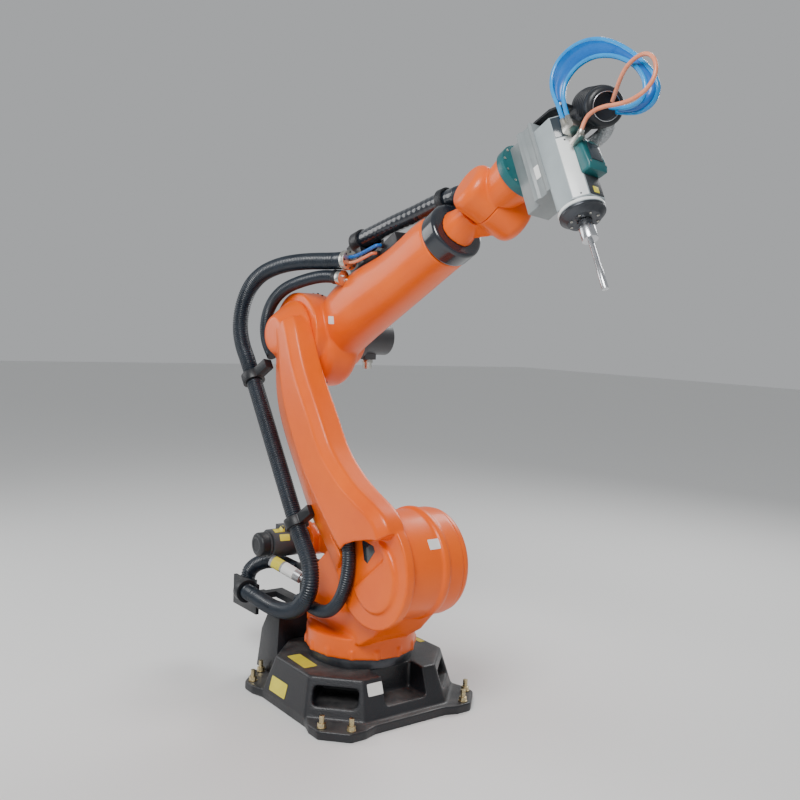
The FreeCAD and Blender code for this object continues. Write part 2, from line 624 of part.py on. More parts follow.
def forearm_bracket(arm):
    side = [V(250, 0, 90), V(216, 0, 236), V(236, 0, 330), V(376, 0, 342), V(500, 0, 268), V(470, 0, 170),
            V(520, 0, 90)]
    web = prism([p + Y * 54 for p in side], Y * 14)
    rail = box((250, 700), (RAIL_NEAR_Y, 68), (60, RAIL_TOP))
    start, after = V(*FOREARM_HOSE[0]), V(*FOREARM_HOSE[1])
    way = unit(after - start)
    cup = rod(start - way * 14, start + way * 40, BIG_HOSE_R + 9)
    post = box((380, 424), (-20, 60), (RAIL_TOP - 4, 232))
    glands = [rod(V(x, RAIL_NEAR_Y + 2, z), V(x, RAIL_NEAR_Y - GLAND_LONG, z), AIR_R + 3) for x, z in GLANDS]
    body = joined(web, rail, cup, post, *glands)
    lifted = arm.copy()
    lifted.translate(Z * 2 * SEAM)
    rest = less(body, rod(start, start + way * 80, BIG_HOSE_R + REST_GAP), arm, lifted)
    return max(rest.Solids, key=lambda s: s.Volume)


def hose_saddle():
    at, after = V(*FOREARM_HOSE[-2]), V(*FOREARM_HOSE[-1])
    way = unit(after - V(*FOREARM_HOSE[-3]))
    ring = rod(at - way * 17, at + way * 17, BIG_HOSE_R + 9)
    foot = box((at.x - 16, at.x + 16), (-12, 84), (52, 100))
    seat = rod(V(at.x - 90, 0, -WRIST_DROP), V(at.x + 90, 0, -WRIST_DROP), RING_R + REST_GAP)
    return less(joined(ring, foot), seat, rod(at - way * 60, at + way * 60, BIG_HOSE_R + 1.2))


CLAMP_LONG, CLAMP_PLATE = 22.0, 5.0
GLAND_DISC, GLAND_FOOT_R = 24.0, 10.0


def clamp_end():
    """Where the elbow hose ends above the forearm, and the way it points there."""
    end = on_link(*ELBOW_LOOP[-1])
    return end, unit(end - on_link(*ELBOW_LOOP[-2]))


def hose_clamp(arm):
    """The band and closing plate at the end of the elbow hose, and the inner hose's gland on the forearm."""
    end, way = clamp_end()
    band = less(rod(end - way * CLAMP_LONG, end, BIG_HOSE_R + 5),
                rod(end - way * (CLAMP_LONG + 5), end + way, BIG_HOSE_R + REST_GAP))
    plate = rod(end + way * END_GAP, end + way * CLAMP_PLATE, BIG_HOSE_R + 5)
    inner = on_link(*INNER_ELBOW[-1])
    inner_way = unit(inner - on_link(*INNER_ELBOW[-2]))
    disc = rod(inner + inner_way * END_GAP, inner + inner_way * GLAND_DISC, SMALL_HOSE_R + 5)
    middle = inner + inner_way * GLAND_DISC / 2
    foot = rod(middle, ON_FOREARM.multVec(V(ON_FOREARM.inverse().multVec(middle).x, 0, 0)), GLAND_FOOT_R)
    gland = less(joined(disc, foot), arm)
    return Part.makeCompound([band, plate, max(gland.Solids, key=lambda s: s.Volume)])


def supply_lines():
    """The two lines that leave the closing plate and enter the glands on the forearm's rail."""
    end, way = clamp_end()
    out = ON_FOREARM.Rotation.inverted().multVec(way)
    start = ON_FOREARM.inverse().multVec(end) + out * (CLAMP_PLATE + END_GAP)
    across = unit(Z - out * out.dot(Z))
    lines = []
    for (x, z), rise, r in zip(GLANDS, (12, -12), (AIR_R, SIGNAL_R)):
        first = start + across * rise
        gland = V(x, RAIL_NEAR_Y - GLAND_LONG - END_GAP, z)
        points = [first, first + out * 30, V(x - 22, gland.y - 26, z), gland - Y * 18, gland]
        lines.append(hose([ON_FOREARM.multVec(p) for p in points], r))
    return Part.makeCompound(lines)


# ---- wrist ---------------------------------------------------------------
NECK_START = RING_START + RING_LONG - WRIST_X + SEAM


def wrist_hand():
    ribs = [(NECK_START, NECK_HIGH, NECK_HIGH), (NECK_START + 40, NECK_HIGH - 10, NECK_HALF_WIDE),
            (-40, NECK_HIGH - 14, NECK_HALF_WIDE)]
    neck = Part.makeLoft([oval(x, high, -high, wide) for x, high, wide in ribs], True, False)
    neck = less(neck, rod(V(0, 0, -200), V(0, 0, WRIST_SEAM_Z), BARREL_R + SWING_GAP))
    x = NECK_START + 40
    shoulder = loft([
        [V(x, -40, 20), V(x, 40, 20), V(x, 40, 54), V(x, -40, 54)],
        [V(-56, -56, 20), V(-56, 56, 20), V(-56, 56, 104), V(-56, -56, 104)],
    ], ruled=True)
    swing = cone(V(HOUSING_AT, 0, 0), V(FACE_AT + ADAPTER_THICK, 0, 0), HOUSING_R + SWING_GAP,
                 FACE_R + 2 * SWING_GAP)
    for side in (BEND_LIMIT, -BEND_LIMIT):
        room = swing.copy()
        room.rotate(V(0, 0, 0), Z, side)
        neck, shoulder = less(neck, room), less(shoulder,
                                                less(room, rod(-Z * 50, Z * 200, LOBE_R + SWING_GAP)))
    lobe = rod(V(0, 0, WRIST_SEAM_Z), V(0, 0, LOBE_END), LOBE_R)
    lobe = round_edges(lobe, lambda e: abs(e.CenterOfMass.z - LOBE_END) < 1, LOBE_ROUND)
    return joined(neck, shoulder, lobe)


def wrist_swivel():
    top = WRIST_SEAM_Z - SEAM
    barrel = rod(V(0, 0, BARREL_END), V(0, 0, top), BARREL_R)
    barrel = round_edges(barrel, lambda e: abs(e.CenterOfMass.z - BARREL_END) < 1, BARREL_ROUND)
    front = cone(V(HOUSING_AT, 0, 0), V(FACE_AT, 0, 0), HOUSING_R, FACE_R)
    front = less(front, rod(V(0, 0, top), V(0, 0, top + 200), LOBE_R + SWING_GAP))
    return joined(barrel, front)


# ---- tool ----------------------------------------------------------------
BRACKET_AT = FACE_AT + ADAPTER_THICK
BODY_X0, BODY_X1 = SPINDLE_AXIS - BODY_REAR, SPINDLE_AXIS + BODY_FRONT


def adapter_ring():
    return rod(V(FACE_AT + SEAM, 0, 0), V(BRACKET_AT, 0, 0), ADAPTER_R)


def spindle_bracket():
    outline = [V(BRACKET_AT + x, -y, BRACKET_TOP) for x, y in BRACKET_STEPS]
    outline[-1].x = BODY_X0
    outline += [V(p.x, -p.y, p.z) for p in reversed(outline)]
    return prism(outline, Z * (BRACKET_FOOT - BRACKET_TOP))


def body_outline(z):
    h, c = BODY_HALF, BODY_CHAMFER
    return [V(BODY_X0, -h, z), V(BODY_X0, h, z), V(BODY_X1 - c, h, z), V(BODY_X1, h - c, z),
            V(BODY_X1, -h + c, z), V(BODY_X1 - c, -h, z)]


def spindle_body():
    body = prism(body_outline(BODY_TOP), Z * (BODY_FOOT - BODY_TOP))
    collar = rod(V(SPINDLE_AXIS, 0, BODY_FOOT - 1), V(SPINDLE_AXIS, 0, BODY_FOOT + COLLAR_HIGH),
                 BODY_HALF + 3)
    bore = rod(V(SPINDLE_AXIS, 0, BODY_FOOT - 40), V(SPINDLE_AXIS, 0, BODY_FOOT + COLLAR_HIGH + 1),
               SHAFT_R + SHAFT_GAP)
    return less(joined(body, collar), bore)


def nose_ring():
    a = V(SPINDLE_AXIS, 0, BODY_FOOT + COLLAR_HIGH)
    b = a + Z * NOSE_LONG
    ring = joined(rod(a, a + Z * 10, NOSE_R), cone(a + Z * 10, b, NOSE_R - 2, NOSE_TIP_R))
    return less(ring, rod(a - Z, b + Z, SHAFT_R + SHAFT_GAP))


def spindle_rotor():
    at = V(SPINDLE_AXIS, 0, 0)
    tip = BODY_FOOT + COLLAR_HIGH + NOSE_LONG
    shaft = rod(at + Z * (BODY_FOOT - 30), at + Z * (tip + 24), SHAFT_R)
    chuck = rod(at + Z * (tip + 24), at + Z * CHUCK_FOOT, CHUCK_R)
    return joined(shaft, chuck)


def cutter():
    at = V(SPINDLE_AXIS, 0, 0)
    return joined(rod(at + Z * CHUCK_FOOT, at + Z * (CUTTER_TIP - 70), CUTTER_R),
                  rod(at + Z * (CUTTER_TIP - 70), at + Z * CUTTER_TIP, CUTTER_R + 2))


COVER_Z = (72.0, 214.0)
COVER_DEEP, COVER_HALF = 42.0, 44.0


def connector_cover():
    (z0, z1), x = COVER_Z, BODY_X1
    side = [(x, z0), (x + 20, z0 + 8), (x + 32, z0 + 30), (x + COVER_DEEP, z1 - 14), (x + 34, z1 + 2),
            (x, z1)]
    cover = prism([V(a, -COVER_HALF, b) for a, b in side], Y * 2 * COVER_HALF)
    return round_edges(cover, lambda e: e.BoundBox.YLength < 1 and e.CenterOfMass.x > x + 5, 8)


PLATE_LINE = [(BRACKET_AT + 62, BRACKET_TOP), (322, -84), (400, -78), (470, -48)]
PLATE_Y = (-20.0, 44.0)


def rear_plate():
    lower = [V(x, PLATE_Y[0], z) for x, z in PLATE_LINE]
    upper = [V(x + 3, PLATE_Y[0], z - 8) for x, z in reversed(PLATE_LINE)]
    foot = box((BRACKET_AT + 62, BRACKET_AT + 130), PLATE_Y, (BRACKET_TOP - 10, BRACKET_TOP))
    return joined(prism(lower + upper, Y * (PLATE_Y[1] - PLATE_Y[0])), foot)


HOLDER_FROM, HOLDER_TO, HOLDER_R = V(476, -64, -66), V(584, -4, 34), 66.0
# loops at the tool, in the tool's own axes
BLUE_INNER = [(476, 60, 10), (476, 60, -33), (481, 57, -76), (501, 53, -113), (538, 47, -134),
              (579, 39, -139),
              (620, 31, -129), (656, 23, -106), (686, 16, -77), (711, 9, -42), (730, 2, -4), (739, -3, 37),
              (736, -5, 80), (710, -4, 112), (668, -1, 105), (631, 2, 83), (600, 4, 54)]
BLUE_OUTER = [(456, 62, 8), (456, 62, -41), (448, 58, -90), (446, 55, -139), (460, 50, -185),
              (495, 43, -219),
              (542, 35, -229), (590, 28, -220), (632, 22, -197), (668, 15, -164), (697, 9, -125),
              (721, 1, -82),
              (740, -7, -38), (755, -16, 8), (766, -23, 56), (761, -29, 104), (721, -32, 129),
              (673, -32, 121),
              (633, -31, 93), (597, -28, 60)]
SIGNAL_LOOP = [(511, 60, 92), (535, 57, 63), (573, 51, 59), (610, 46, 72), (643, 43, 93), (677, 39, 110),
               (715, 35, 121), (753, 31, 121), (788, 27, 105), (807, 24, 72), (807, 22, 33), (787, 22, 1),
               (750, 24, -11), (711, 24, -8), (675, 17, 4), (640, 5, 19), (606, -9, 30)]
HOLDER_WAY = unit(HOLDER_TO - HOLDER_FROM)
SEAT_DEEP = 26.0


def hose_holder(body, plate):
    shell = rod(HOLDER_FROM, HOLDER_TO, HOLDER_R)
    shell = round_edges(shell, lambda e: abs(e.Length - 2 * math.pi * HOLDER_R) < 1, 18)
    foot = box((BODY_X1 - 20, 520), (-56, 16), (-44, 20))
    mouth = rod(HOLDER_TO - HOLDER_WAY * 30, HOLDER_TO + HOLDER_WAY, HOLDER_R - 22)
    seat = rod(HOLDER_FROM - HOLDER_WAY, HOLDER_FROM + HOLDER_WAY * SEAT_DEEP, BIG_HOSE_R + 1)
    return less(joined(shell, foot), mouth, seat, body, plate)


def braided_coupling(holder, body):
    path = [V(405, -71, 48), V(458, -73, 56), V(508, -71, 56), V(546, -59, 30), V(556, -45, -12)]
    rest = hose(path, 24).cut(holder).cut(body)
    return max(rest.Solids, key=lambda s: s.Volume)


def hose_fittings():
    """The block of elbows that the blue hoses start from, and the signal line's plug."""
    block = box((BODY_X1 + END_GAP, 498), (20, 76), (40, 66))
    stems = [rod(V(x, y, 41), V(x, y, z + END_GAP), AIR_R + 3) for x, y, z in (BLUE_INNER[0], BLUE_OUTER[0])]
    first, then = V(*SIGNAL_LOOP[0]), V(*SIGNAL_LOOP[1])
    back = unit(first - then)
    plug = rod(first + back * END_GAP, first + back * 14, SIGNAL_R + 4)
    lug = box((456, 506), (COVER_HALF + END_GAP, 66), (96, 112))
    return Part.makeCompound([joined(block, *stems), joined(plug, lug)])


def eased(start, start_way, end, end_way, count, lead):
    """Route points along a smooth curve that leaves and arrives in two given directions."""
    p, q = start + start_way * lead, end - end_way * lead
    pull = (q - p).Length
    a, b = start_way * pull, end_way * pull
    points = [start]
    for k in range(count + 1):
        t = k / count
        points.append(p * (2 * t**3 - 3 * t**2 + 1) + a * (t**3 - 2 * t**2 + t)
                      + q * (3 * t**2 - 2 * t**3) + b * (t**3 - t**2))
    return points + [end]


# hose behind the wrist, in the tool's own axes: where one piece meets the next, its direction there,
# and the length of its straight ends
TOOL_HOSE = [
    ("tool_hose_rear", V(-92, -78, -126), V(1, -0.26, 0.08), 30),
    ("tool_hose_middle", V(96, -118, -122), V(1, -0.12, 0.0), 30),
    ("tool_hose_front", HOLDER_FROM + HOLDER_WAY * (SEAT_DEEP - END_GAP), HOLDER_WAY, 60),
]


def tool_hoses():
    last, before = on_forearm(*FOREARM_HOSE[-1]), on_forearm(*FOREARM_HOSE[-2])
    at, way = last, unit(last - before)
    hoses = {}
    for name, end, end_way, lead in TOOL_HOSE:
        end, end_way = ON_TOOL.multVec(end), unit(ON_TOOL.Rotation.multVec(end_way))
        start = at + way * END_GAP
        hoses[name] = hose(eased(start, way, end, end_way, 3, lead), BIG_HOSE_R)
        at, way = end, end_way
    return hoses


# ---- whole part ----------------------------------------------------------
def build():
    base = base_casting()
    column = rotating_column()
    arm = forearm()
    at_elbow = FreeCAD.Placement(ELBOW, FreeCAD.Rotation())
    body, plate = spindle_body(), rear_plate()
    holder = hose_holder(body, plate)
    link = placed(link_arm(), ON_LINK)
    return {
        "base_casting": base,
        "bearing_ring": bearing_ring(),
        "anchor_bolts": anchor_bolts(),
        "connection_box": connection_box(base),
        "connector_panel": connector_panel(),
        "rotating_column": column,
        "drum_end_cap": drum_end_cap(),
        "shoulder_motor": shoulder_motor(),
        "motor_cap": motor_cap(),
        "turn_motor": turn_motor(),
        "accumulator": accumulator(column),
        "rear_hose_bracket": rear_hose_bracket(),
        "rear_hose": hose(REAR_RISER, BIG_HOSE_R),
        "link_arm": link,
        "link_straps": link_straps(link),
        "link_hose": link_hose(),
        "column_hose": column_hose(),
        "inner_column_hose": hose(INNER_LOOP, SMALL_HOSE_R),
        "elbow_hose": elbow_hose(),
        "inner_elbow_hose": hose([on_link(*p) for p in INNER_ELBOW], SMALL_HOSE_R),
        "hose_clamp": hose_clamp(placed(arm, ON_FOREARM)),
        "supply_lines": supply_lines(),
        "forearm": placed(arm, ON_FOREARM),
        "wrist_ring": placed(wrist_ring(), ON_FOREARM),
        "elbow_motor": placed(elbow_motor(), at_elbow),
        "motor_connector": placed(motor_connector(), at_elbow),
        "forearm_bracket": placed(forearm_bracket(arm), ON_FOREARM),
        "forearm_hose": hose([on_forearm(*p) for p in FOREARM_HOSE], BIG_HOSE_R),
        "hose_saddle": placed(hose_saddle(), ON_FOREARM),
        "wrist_hand": placed(wrist_hand(), ON_HAND),
        "wrist_swivel": placed(wrist_swivel(), ON_SWIVEL),
        "adapter_ring": placed(adapter_ring(), ON_TOOL),
        "spindle_bracket": placed(spindle_bracket(), ON_TOOL),
        "rear_plate": placed(plate, ON_TOOL),
        "spindle_body": placed(body, ON_TOOL),
        "nose_ring": placed(nose_ring(), ON_TOOL),
        "connector_cover": placed(connector_cover(), ON_TOOL),
        "hose_holder": placed(holder, ON_TOOL),
        "braided_coupling": placed(braided_coupling(holder, body), ON_TOOL),
        "hose_fittings": placed(hose_fittings(), ON_TOOL),
        "blue_hoses": placed(Part.makeCompound([hose(BLUE_INNER, AIR_R), hose(BLUE_OUTER, AIR_R)]), ON_TOOL),
        "signal_hose": placed(hose(SIGNAL_LOOP, SIGNAL_R), ON_TOOL),
        "spindle_rotor": placed(spindle_rotor(), ON_TOOL),
        "cutter": placed(cutter(), ON_TOOL),
        **tool_hoses(),
    }


def main():
    os.makedirs("parts", exist_ok=True)
    for name, shape in build().items():
        shape.exportStep(f"parts/{name}.step")
        print(name, len(shape.Solids), shape.isValid(), round(shape.Volume / 1e6, 2))


main()
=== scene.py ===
import json
import math

import bmesh
import bpy
import numpy as np
from mathutils import Matrix, Vector
from mathutils.bvhtree import BVHTree


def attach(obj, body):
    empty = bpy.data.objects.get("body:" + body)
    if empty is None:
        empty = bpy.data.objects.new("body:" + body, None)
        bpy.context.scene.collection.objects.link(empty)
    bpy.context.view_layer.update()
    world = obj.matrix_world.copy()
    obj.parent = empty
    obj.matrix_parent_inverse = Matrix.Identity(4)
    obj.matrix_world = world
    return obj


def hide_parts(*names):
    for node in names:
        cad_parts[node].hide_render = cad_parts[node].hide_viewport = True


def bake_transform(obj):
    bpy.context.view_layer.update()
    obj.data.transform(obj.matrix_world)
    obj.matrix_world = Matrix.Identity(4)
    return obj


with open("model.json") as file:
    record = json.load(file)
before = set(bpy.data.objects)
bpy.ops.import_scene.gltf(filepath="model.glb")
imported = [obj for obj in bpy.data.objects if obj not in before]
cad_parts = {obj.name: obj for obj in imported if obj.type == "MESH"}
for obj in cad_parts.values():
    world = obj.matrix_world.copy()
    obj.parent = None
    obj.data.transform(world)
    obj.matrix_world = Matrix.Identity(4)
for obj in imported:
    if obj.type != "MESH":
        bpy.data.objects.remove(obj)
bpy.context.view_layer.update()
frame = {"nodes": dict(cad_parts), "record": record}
print("frame loaded")

# the stored stance of the arm, in metres and degrees
stance = dict(shoulder=(0.35, 0, 0.675), linkLength=1.15, linkLean=38.32, forearmLift=27.9,
              wristDrop=0.041,
              wristReach=1.2, wristRoll=55.0, wristBend=2.1, flangeTurn=60.8)


def turned(direction, axis, degrees):
    return Matrix.Rotation(math.radians(degrees), 3, axis) @ Vector(direction)


def localFrame(origin, along, up):
    x = Vector(along).normalized()
    y = Vector(up).cross(x).normalized()
    z = x.cross(y)
    place = Matrix((x, y, z)).transposed().to_4x4()
    place.translation = origin
    return place


sideways = Vector((0, 1, 0))
linkUp = turned((0, 0, 1), sideways, -stance["linkLean"])
elbow = Vector(stance["shoulder"]) + linkUp * stance["linkLength"]
forearmOut = turned((1, 0, 0), sideways, -stance["forearmLift"])
forearmTop = turned((0, 0, 1), sideways, -stance["forearmLift"])
wrist = elbow + forearmOut * stance["wristReach"] - forearmTop * stance["wristDrop"]
bendAxis = turned(-forearmTop, forearmOut, stance["wristRoll"])
toolOut = turned(forearmOut, bendAxis, -stance["wristBend"])
spindleWay = turned(bendAxis, toolOut, -stance["flangeTurn"])

onFloor = Matrix.Identity(4)
onTool = localFrame(wrist, toolOut, spindleWay)


# camera
view = dict(place=(3.331, -2.332, 1.623), yaw=143.16, pitch=-4.33, roll=2.36, lens=42.29)


def makeCamera():
    yaw, pitch, roll = (math.radians(view[k]) for k in ("yaw", "pitch", "roll"))
    look = Vector((math.cos(pitch) * math.cos(yaw), math.cos(pitch) * math.sin(yaw),
                   math.sin(pitch)))
    right = look.cross(Vector((0, 0, 1))).normalized()
    up = right.cross(look)
    tiltedRight = right * math.cos(roll) + up * math.sin(roll)
    tiltedUp = up * math.cos(roll) - right * math.sin(roll)
    data = bpy.data.cameras.new("mainCamera")
    data.lens = view["lens"]
    data.sensor_width = 36
    data.clip_end = 60
    camera = bpy.data.objects.new("mainCamera", data)
    place = Matrix((tiltedRight, tiltedUp, -look)).transposed().to_4x4()
    place.translation = view["place"]
    camera.matrix_world = place
    bpy.context.collection.objects.link(camera)
    bpy.context.scene.camera = camera


makeCamera()


# materials
def nodeGroup(name, inputs, outputs):
    group = bpy.data.node_groups.new(name, "ShaderNodeTree")
    for label, kind, value in inputs:
        socket = group.interface.new_socket(name=label, in_out="INPUT", socket_type=kind)
        if value is not None:
            socket.default_value = value
    for label, kind in outputs:
        group.interface.new_socket(name=label, in_out="OUTPUT", socket_type=kind)
    return group, group.nodes.new("NodeGroupInput"), group.nodes.new("NodeGroupOutput")


# Adds a node; sockets are numbers, colours or (node, output) pairs.
def addNode(tree, kind, settings=None, **sockets):
    node = tree.nodes.new(kind)
    for key, value in (settings or {}).items():
        setattr(node, key, value)
    for key, value in sockets.items():
        key = int(key[1:]) if key[0] == "_" else key.replace("_", " ")
        if isinstance(value, tuple) and len(value) == 2 and hasattr(value[0], "outputs"):
            tree.links.new(value[0].outputs[value[1]], node.inputs[key])
        else:
            node.inputs[key].default_value = value
    return node


# Fine grain for bump, a broad tone that drifts over the surface, and small worn spots.
def makeSurfaceGrain():
    group, start, end = nodeGroup(
        "surfaceGrain",
        [("Vector", "NodeSocketVector", None), ("Fine Scale", "NodeSocketFloat", 400.0),
         ("Broad Scale", "NodeSocketFloat", 4.0), ("Wear Size", "NodeSocketFloat", 30.0),
         ("Wear Amount", "NodeSocketFloat", 0.3)],
        [("Grain", "NodeSocketFloat"), ("Tone", "NodeSocketFloat"), ("Wear", "NodeSocketFloat")])
    fine = addNode(group, "ShaderNodeTexNoise", Vector=(start, "Vector"), Scale=(start,
            "Fine Scale"), Detail=3.0,
                   Roughness=0.55)
    broad = addNode(group, "ShaderNodeTexNoise", Vector=(start, "Vector"), Scale=(start,
            "Broad Scale"), Detail=5.0,
                    Roughness=0.6)
    tone = addNode(group, "ShaderNodeMapRange", Value=(broad, "Fac"), From_Min=0.32, From_Max=0.68)
    spots = addNode(group, "ShaderNodeTexNoise", Vector=(start, "Vector"), Scale=(start,
            "Wear Size"), Detail=6.0,
                    Roughness=0.7)
    lift = addNode(group, "ShaderNodeMath", {"operation": "MULTIPLY_ADD"}, _0=(start,
            "Wear Amount"), _1=-0.3, _2=0.74)
    edge = addNode(group, "ShaderNodeMath", {"operation": "ADD"}, _0=(lift, 0), _1=0.05)
    worn = addNode(group, "ShaderNodeMapRange", Value=(spots, "Fac"), From_Min=(lift, 0),
                   From_Max=(edge, 0))
    group.links.new(fine.outputs["Fac"], end.inputs["Grain"])
    group.links.new(tone.outputs["Result"], end.inputs["Tone"])
    group.links.new(worn.outputs["Result"], end.inputs["Wear"])
    return group


# Dust that lies on faces that point up, broken by noise.
def makeSettledDust():
    group, start, end = nodeGroup(
        "settledDust",
        [("Vector", "NodeSocketVector", None), ("Amount", "NodeSocketFloat", 0.3)],
        [("Mask", "NodeSocketFloat")])
    facing = group.nodes.new("ShaderNodeNewGeometry")
    parts = addNode(group, "ShaderNodeSeparateXYZ", Vector=(facing, "Normal"))
    flat = addNode(group, "ShaderNodeMapRange", Value=(parts, "Z"), From_Min=0.55, From_Max=1.0)
    noise = addNode(group, "ShaderNodeTexNoise", Vector=(start, "Vector"), Scale=9.0, Detail=7.0,
                    Roughness=0.65)
    broken = addNode(group, "ShaderNodeMapRange", Value=(noise, "Fac"), From_Min=0.35,
                     From_Max=0.75)
    both = addNode(group, "ShaderNodeMath", {"operation": "MULTIPLY"}, _0=(flat, "Result"),
                   _1=(broken, "Result"))
    amount = addNode(group, "ShaderNodeMath", {"operation": "MULTIPLY", "use_clamp": True},
                     _0=(both, 0),
                     _1=(start, "Amount"))
    group.links.new(amount.outputs[0], end.inputs["Mask"])
    return group


surfaceGrain = makeSurfaceGrain()
settledDust = makeSettledDust()

# base and drift colours, worn colour, roughness from and to, grain and its height, and settled dust
finishes = dict(
    orangeEnamel=dict(base=(0.82, 0.105, 0.0), drift=(0.90, 0.135, 0.001), worn=(0.6, 0.07, 0.001),
                      rough=(0.3, 0.4),
                      fine=260, broad=3.2, wearSize=22, wear=0.1, grain=0.00012, coat=0.15,
                      dust=0.02, specular=0.32),
    blackCasting=dict(base=(0.006, 0.0065, 0.009), drift=(0.012, 0.013, 0.017), worn=(0.045, 0.045,
            0.05), rough=(0.34, 0.52),
                      fine=170, broad=5, wearSize=34, wear=0.25, grain=0.0005, coat=0.15,
                      dust=0.22),
    blackPlastic=dict(base=(0.006, 0.0075, 0.010), drift=(0.012, 0.014, 0.018), worn=(0.05, 0.055,
            0.06), rough=(0.36, 0.5),
                      fine=520, broad=8, wearSize=60, wear=0.15, grain=0.00012, coat=0.0,
                      dust=0.12),
    ringGloss=dict(base=(0.009, 0.012, 0.018), drift=(0.016, 0.021, 0.03), worn=(0.05, 0.055,
            0.065), rough=(0.12, 0.22),
                   fine=300, broad=9, wearSize=70, wear=0.15, grain=0.00005, coat=0.6, dust=0.05),
    hoseBlack=dict(base=(0.005, 0.010, 0.018), drift=(0.011, 0.020, 0.033), worn=(0.035, 0.045,
            0.055), rough=(0.27, 0.42),
                   fine=380, broad=12, wearSize=80, wear=0.2, grain=0.00008, coat=0.1, dust=0.1),
    motorGrey=dict(base=(0.030, 0.033, 0.038), drift=(0.048, 0.051, 0.056), worn=(0.14, 0.14, 0.14),
                   rough=(0.36, 0.5),
                   fine=320, broad=7, wearSize=40, wear=0.2, grain=0.00015, coat=0.1, dust=0.2),
    zincSteel=dict(base=(0.50, 0.49, 0.45), drift=(0.66, 0.64, 0.58), worn=(0.30, 0.27, 0.2),
                   rough=(0.22, 0.4),
                   fine=420, broad=40, wearSize=110, wear=0.3, grain=0.00006, metal=1.0, dust=0.05),
    turnedSteel=dict(base=(0.56, 0.57, 0.59), drift=(0.68, 0.69, 0.71), worn=(0.36, 0.35, 0.34),
                     rough=(0.16, 0.3),
                     fine=700, broad=30, wearSize=90, wear=0.2, grain=0.00004, metal=1.0, dust=0.0),
    darkSteel=dict(base=(0.050, 0.055, 0.065), drift=(0.085, 0.09, 0.1), worn=(0.25, 0.25, 0.25),
                   rough=(0.26, 0.4),
                   fine=500, broad=20, wearSize=60, wear=0.25, grain=0.00006, metal=0.7, dust=0.04),
    tealCover=dict(base=(0.004, 0.085, 0.095), drift=(0.007, 0.12, 0.13), worn=(0.03, 0.2, 0.2),
                   rough=(0.3, 0.45),
                   fine=480, broad=14, wearSize=60, wear=0.15, grain=0.0001, coat=0.1, dust=0.08),
    greyPaint=dict(base=(0.29, 0.335, 0.35), drift=(0.35, 0.40, 0.415), worn=(0.24, 0.27, 0.28),
                   rough=(0.34, 0.46),
                   fine=420, broad=8, wearSize=46, wear=0.15, grain=0.0001, coat=0.1, dust=0.1),
    brassZinc=dict(base=(0.52, 0.42, 0.23), drift=(0.66, 0.56, 0.34), worn=(0.3, 0.24, 0.13),
                   rough=(0.24, 0.42),
                   fine=420, broad=40, wearSize=110, wear=0.3, grain=0.00006, metal=1.0, dust=0.05),
    braidSteel=dict(base=(0.22, 0.23, 0.24), drift=(0.62, 0.64, 0.66), worn=(0.12, 0.12, 0.12),
                    rough=(0.24, 0.46),
                    fine=230, broad=210, wearSize=160, wear=0.4, grain=0.0012, metal=0.9, dust=0.0),
    cylinderGrey=dict(base=(0.33, 0.34, 0.35), drift=(0.44, 0.45, 0.46), worn=(0.2, 0.2, 0.2),
                      rough=(0.28, 0.42),
                      fine=400, broad=10, wearSize=60, wear=0.2, grain=0.00006, metal=0.6,
                      dust=0.05),
    bracketGrey=dict(base=(0.19, 0.215, 0.22), drift=(0.245, 0.27, 0.275), worn=(0.15, 0.165, 0.17),
                     rough=(0.34, 0.46),
                     fine=420, broad=8, wearSize=46, wear=0.15, grain=0.0001, coat=0.1, dust=0.05),
    palePaint=dict(base=(0.74, 0.77, 0.76), drift=(0.84, 0.86, 0.84), worn=(0.6, 0.62, 0.6),
                   rough=(0.3, 0.42),
                   fine=420, broad=8, wearSize=46, wear=0.1, grain=0.00008, coat=0.15, dust=0.05),
    # dark windows and inset on the spindle; also the colour of the painted shade beside the hub
    darkWindowAndPaintedShade=dict(base=(0.018, 0.026, 0.034), drift=(0.03, 0.042, 0.052), worn=(0.06, 0.07, 0.08),
                    rough=(0.1, 0.2),
                    fine=300, broad=16, wearSize=60, wear=0.1, grain=0.00003, coat=0.4, dust=0.0),
    blueHose=dict(base=(0.0, 0.22, 0.60), drift=(0.001, 0.30, 0.72), worn=(0.01, 0.2, 0.5),
                  rough=(0.16, 0.3),
                  fine=260, broad=16, wearSize=60, wear=0.1, grain=0.00004, coat=0.4, dust=0.0),
    blueWeb=dict(base=(0.0, 0.095, 0.38), drift=(0.001, 0.13, 0.48), worn=(0.01, 0.12, 0.4),
                 rough=(0.24, 0.4),
                 fine=200, broad=10, wearSize=40, wear=0.1, grain=0.00004, coat=0.2, dust=0.0),
    salmonLine=dict(base=(0.72, 0.20, 0.09), drift=(0.78, 0.30, 0.17), worn=(0.5, 0.12, 0.05),
                    rough=(0.3, 0.45),
                    fine=300, broad=16, wearSize=50, wear=0.1, grain=0.00005, coat=0.2, dust=0.0),
    yellowTag=dict(base=(0.66, 0.56, 0.03), drift=(0.76, 0.67, 0.06), worn=(0.4, 0.33, 0.03),
                   rough=(0.35, 0.5),
                   fine=300, broad=14, wearSize=60, wear=0.3, grain=0.00004, coat=0.1, dust=0.05),
    whiteTag=dict(base=(0.74, 0.75, 0.73), drift=(0.84, 0.84, 0.82), worn=(0.5, 0.5, 0.48),
                  rough=(0.35, 0.5),
                  fine=300, broad=14, wearSize=60, wear=0.25, grain=0.00004, coat=0.1, dust=0.05),
)


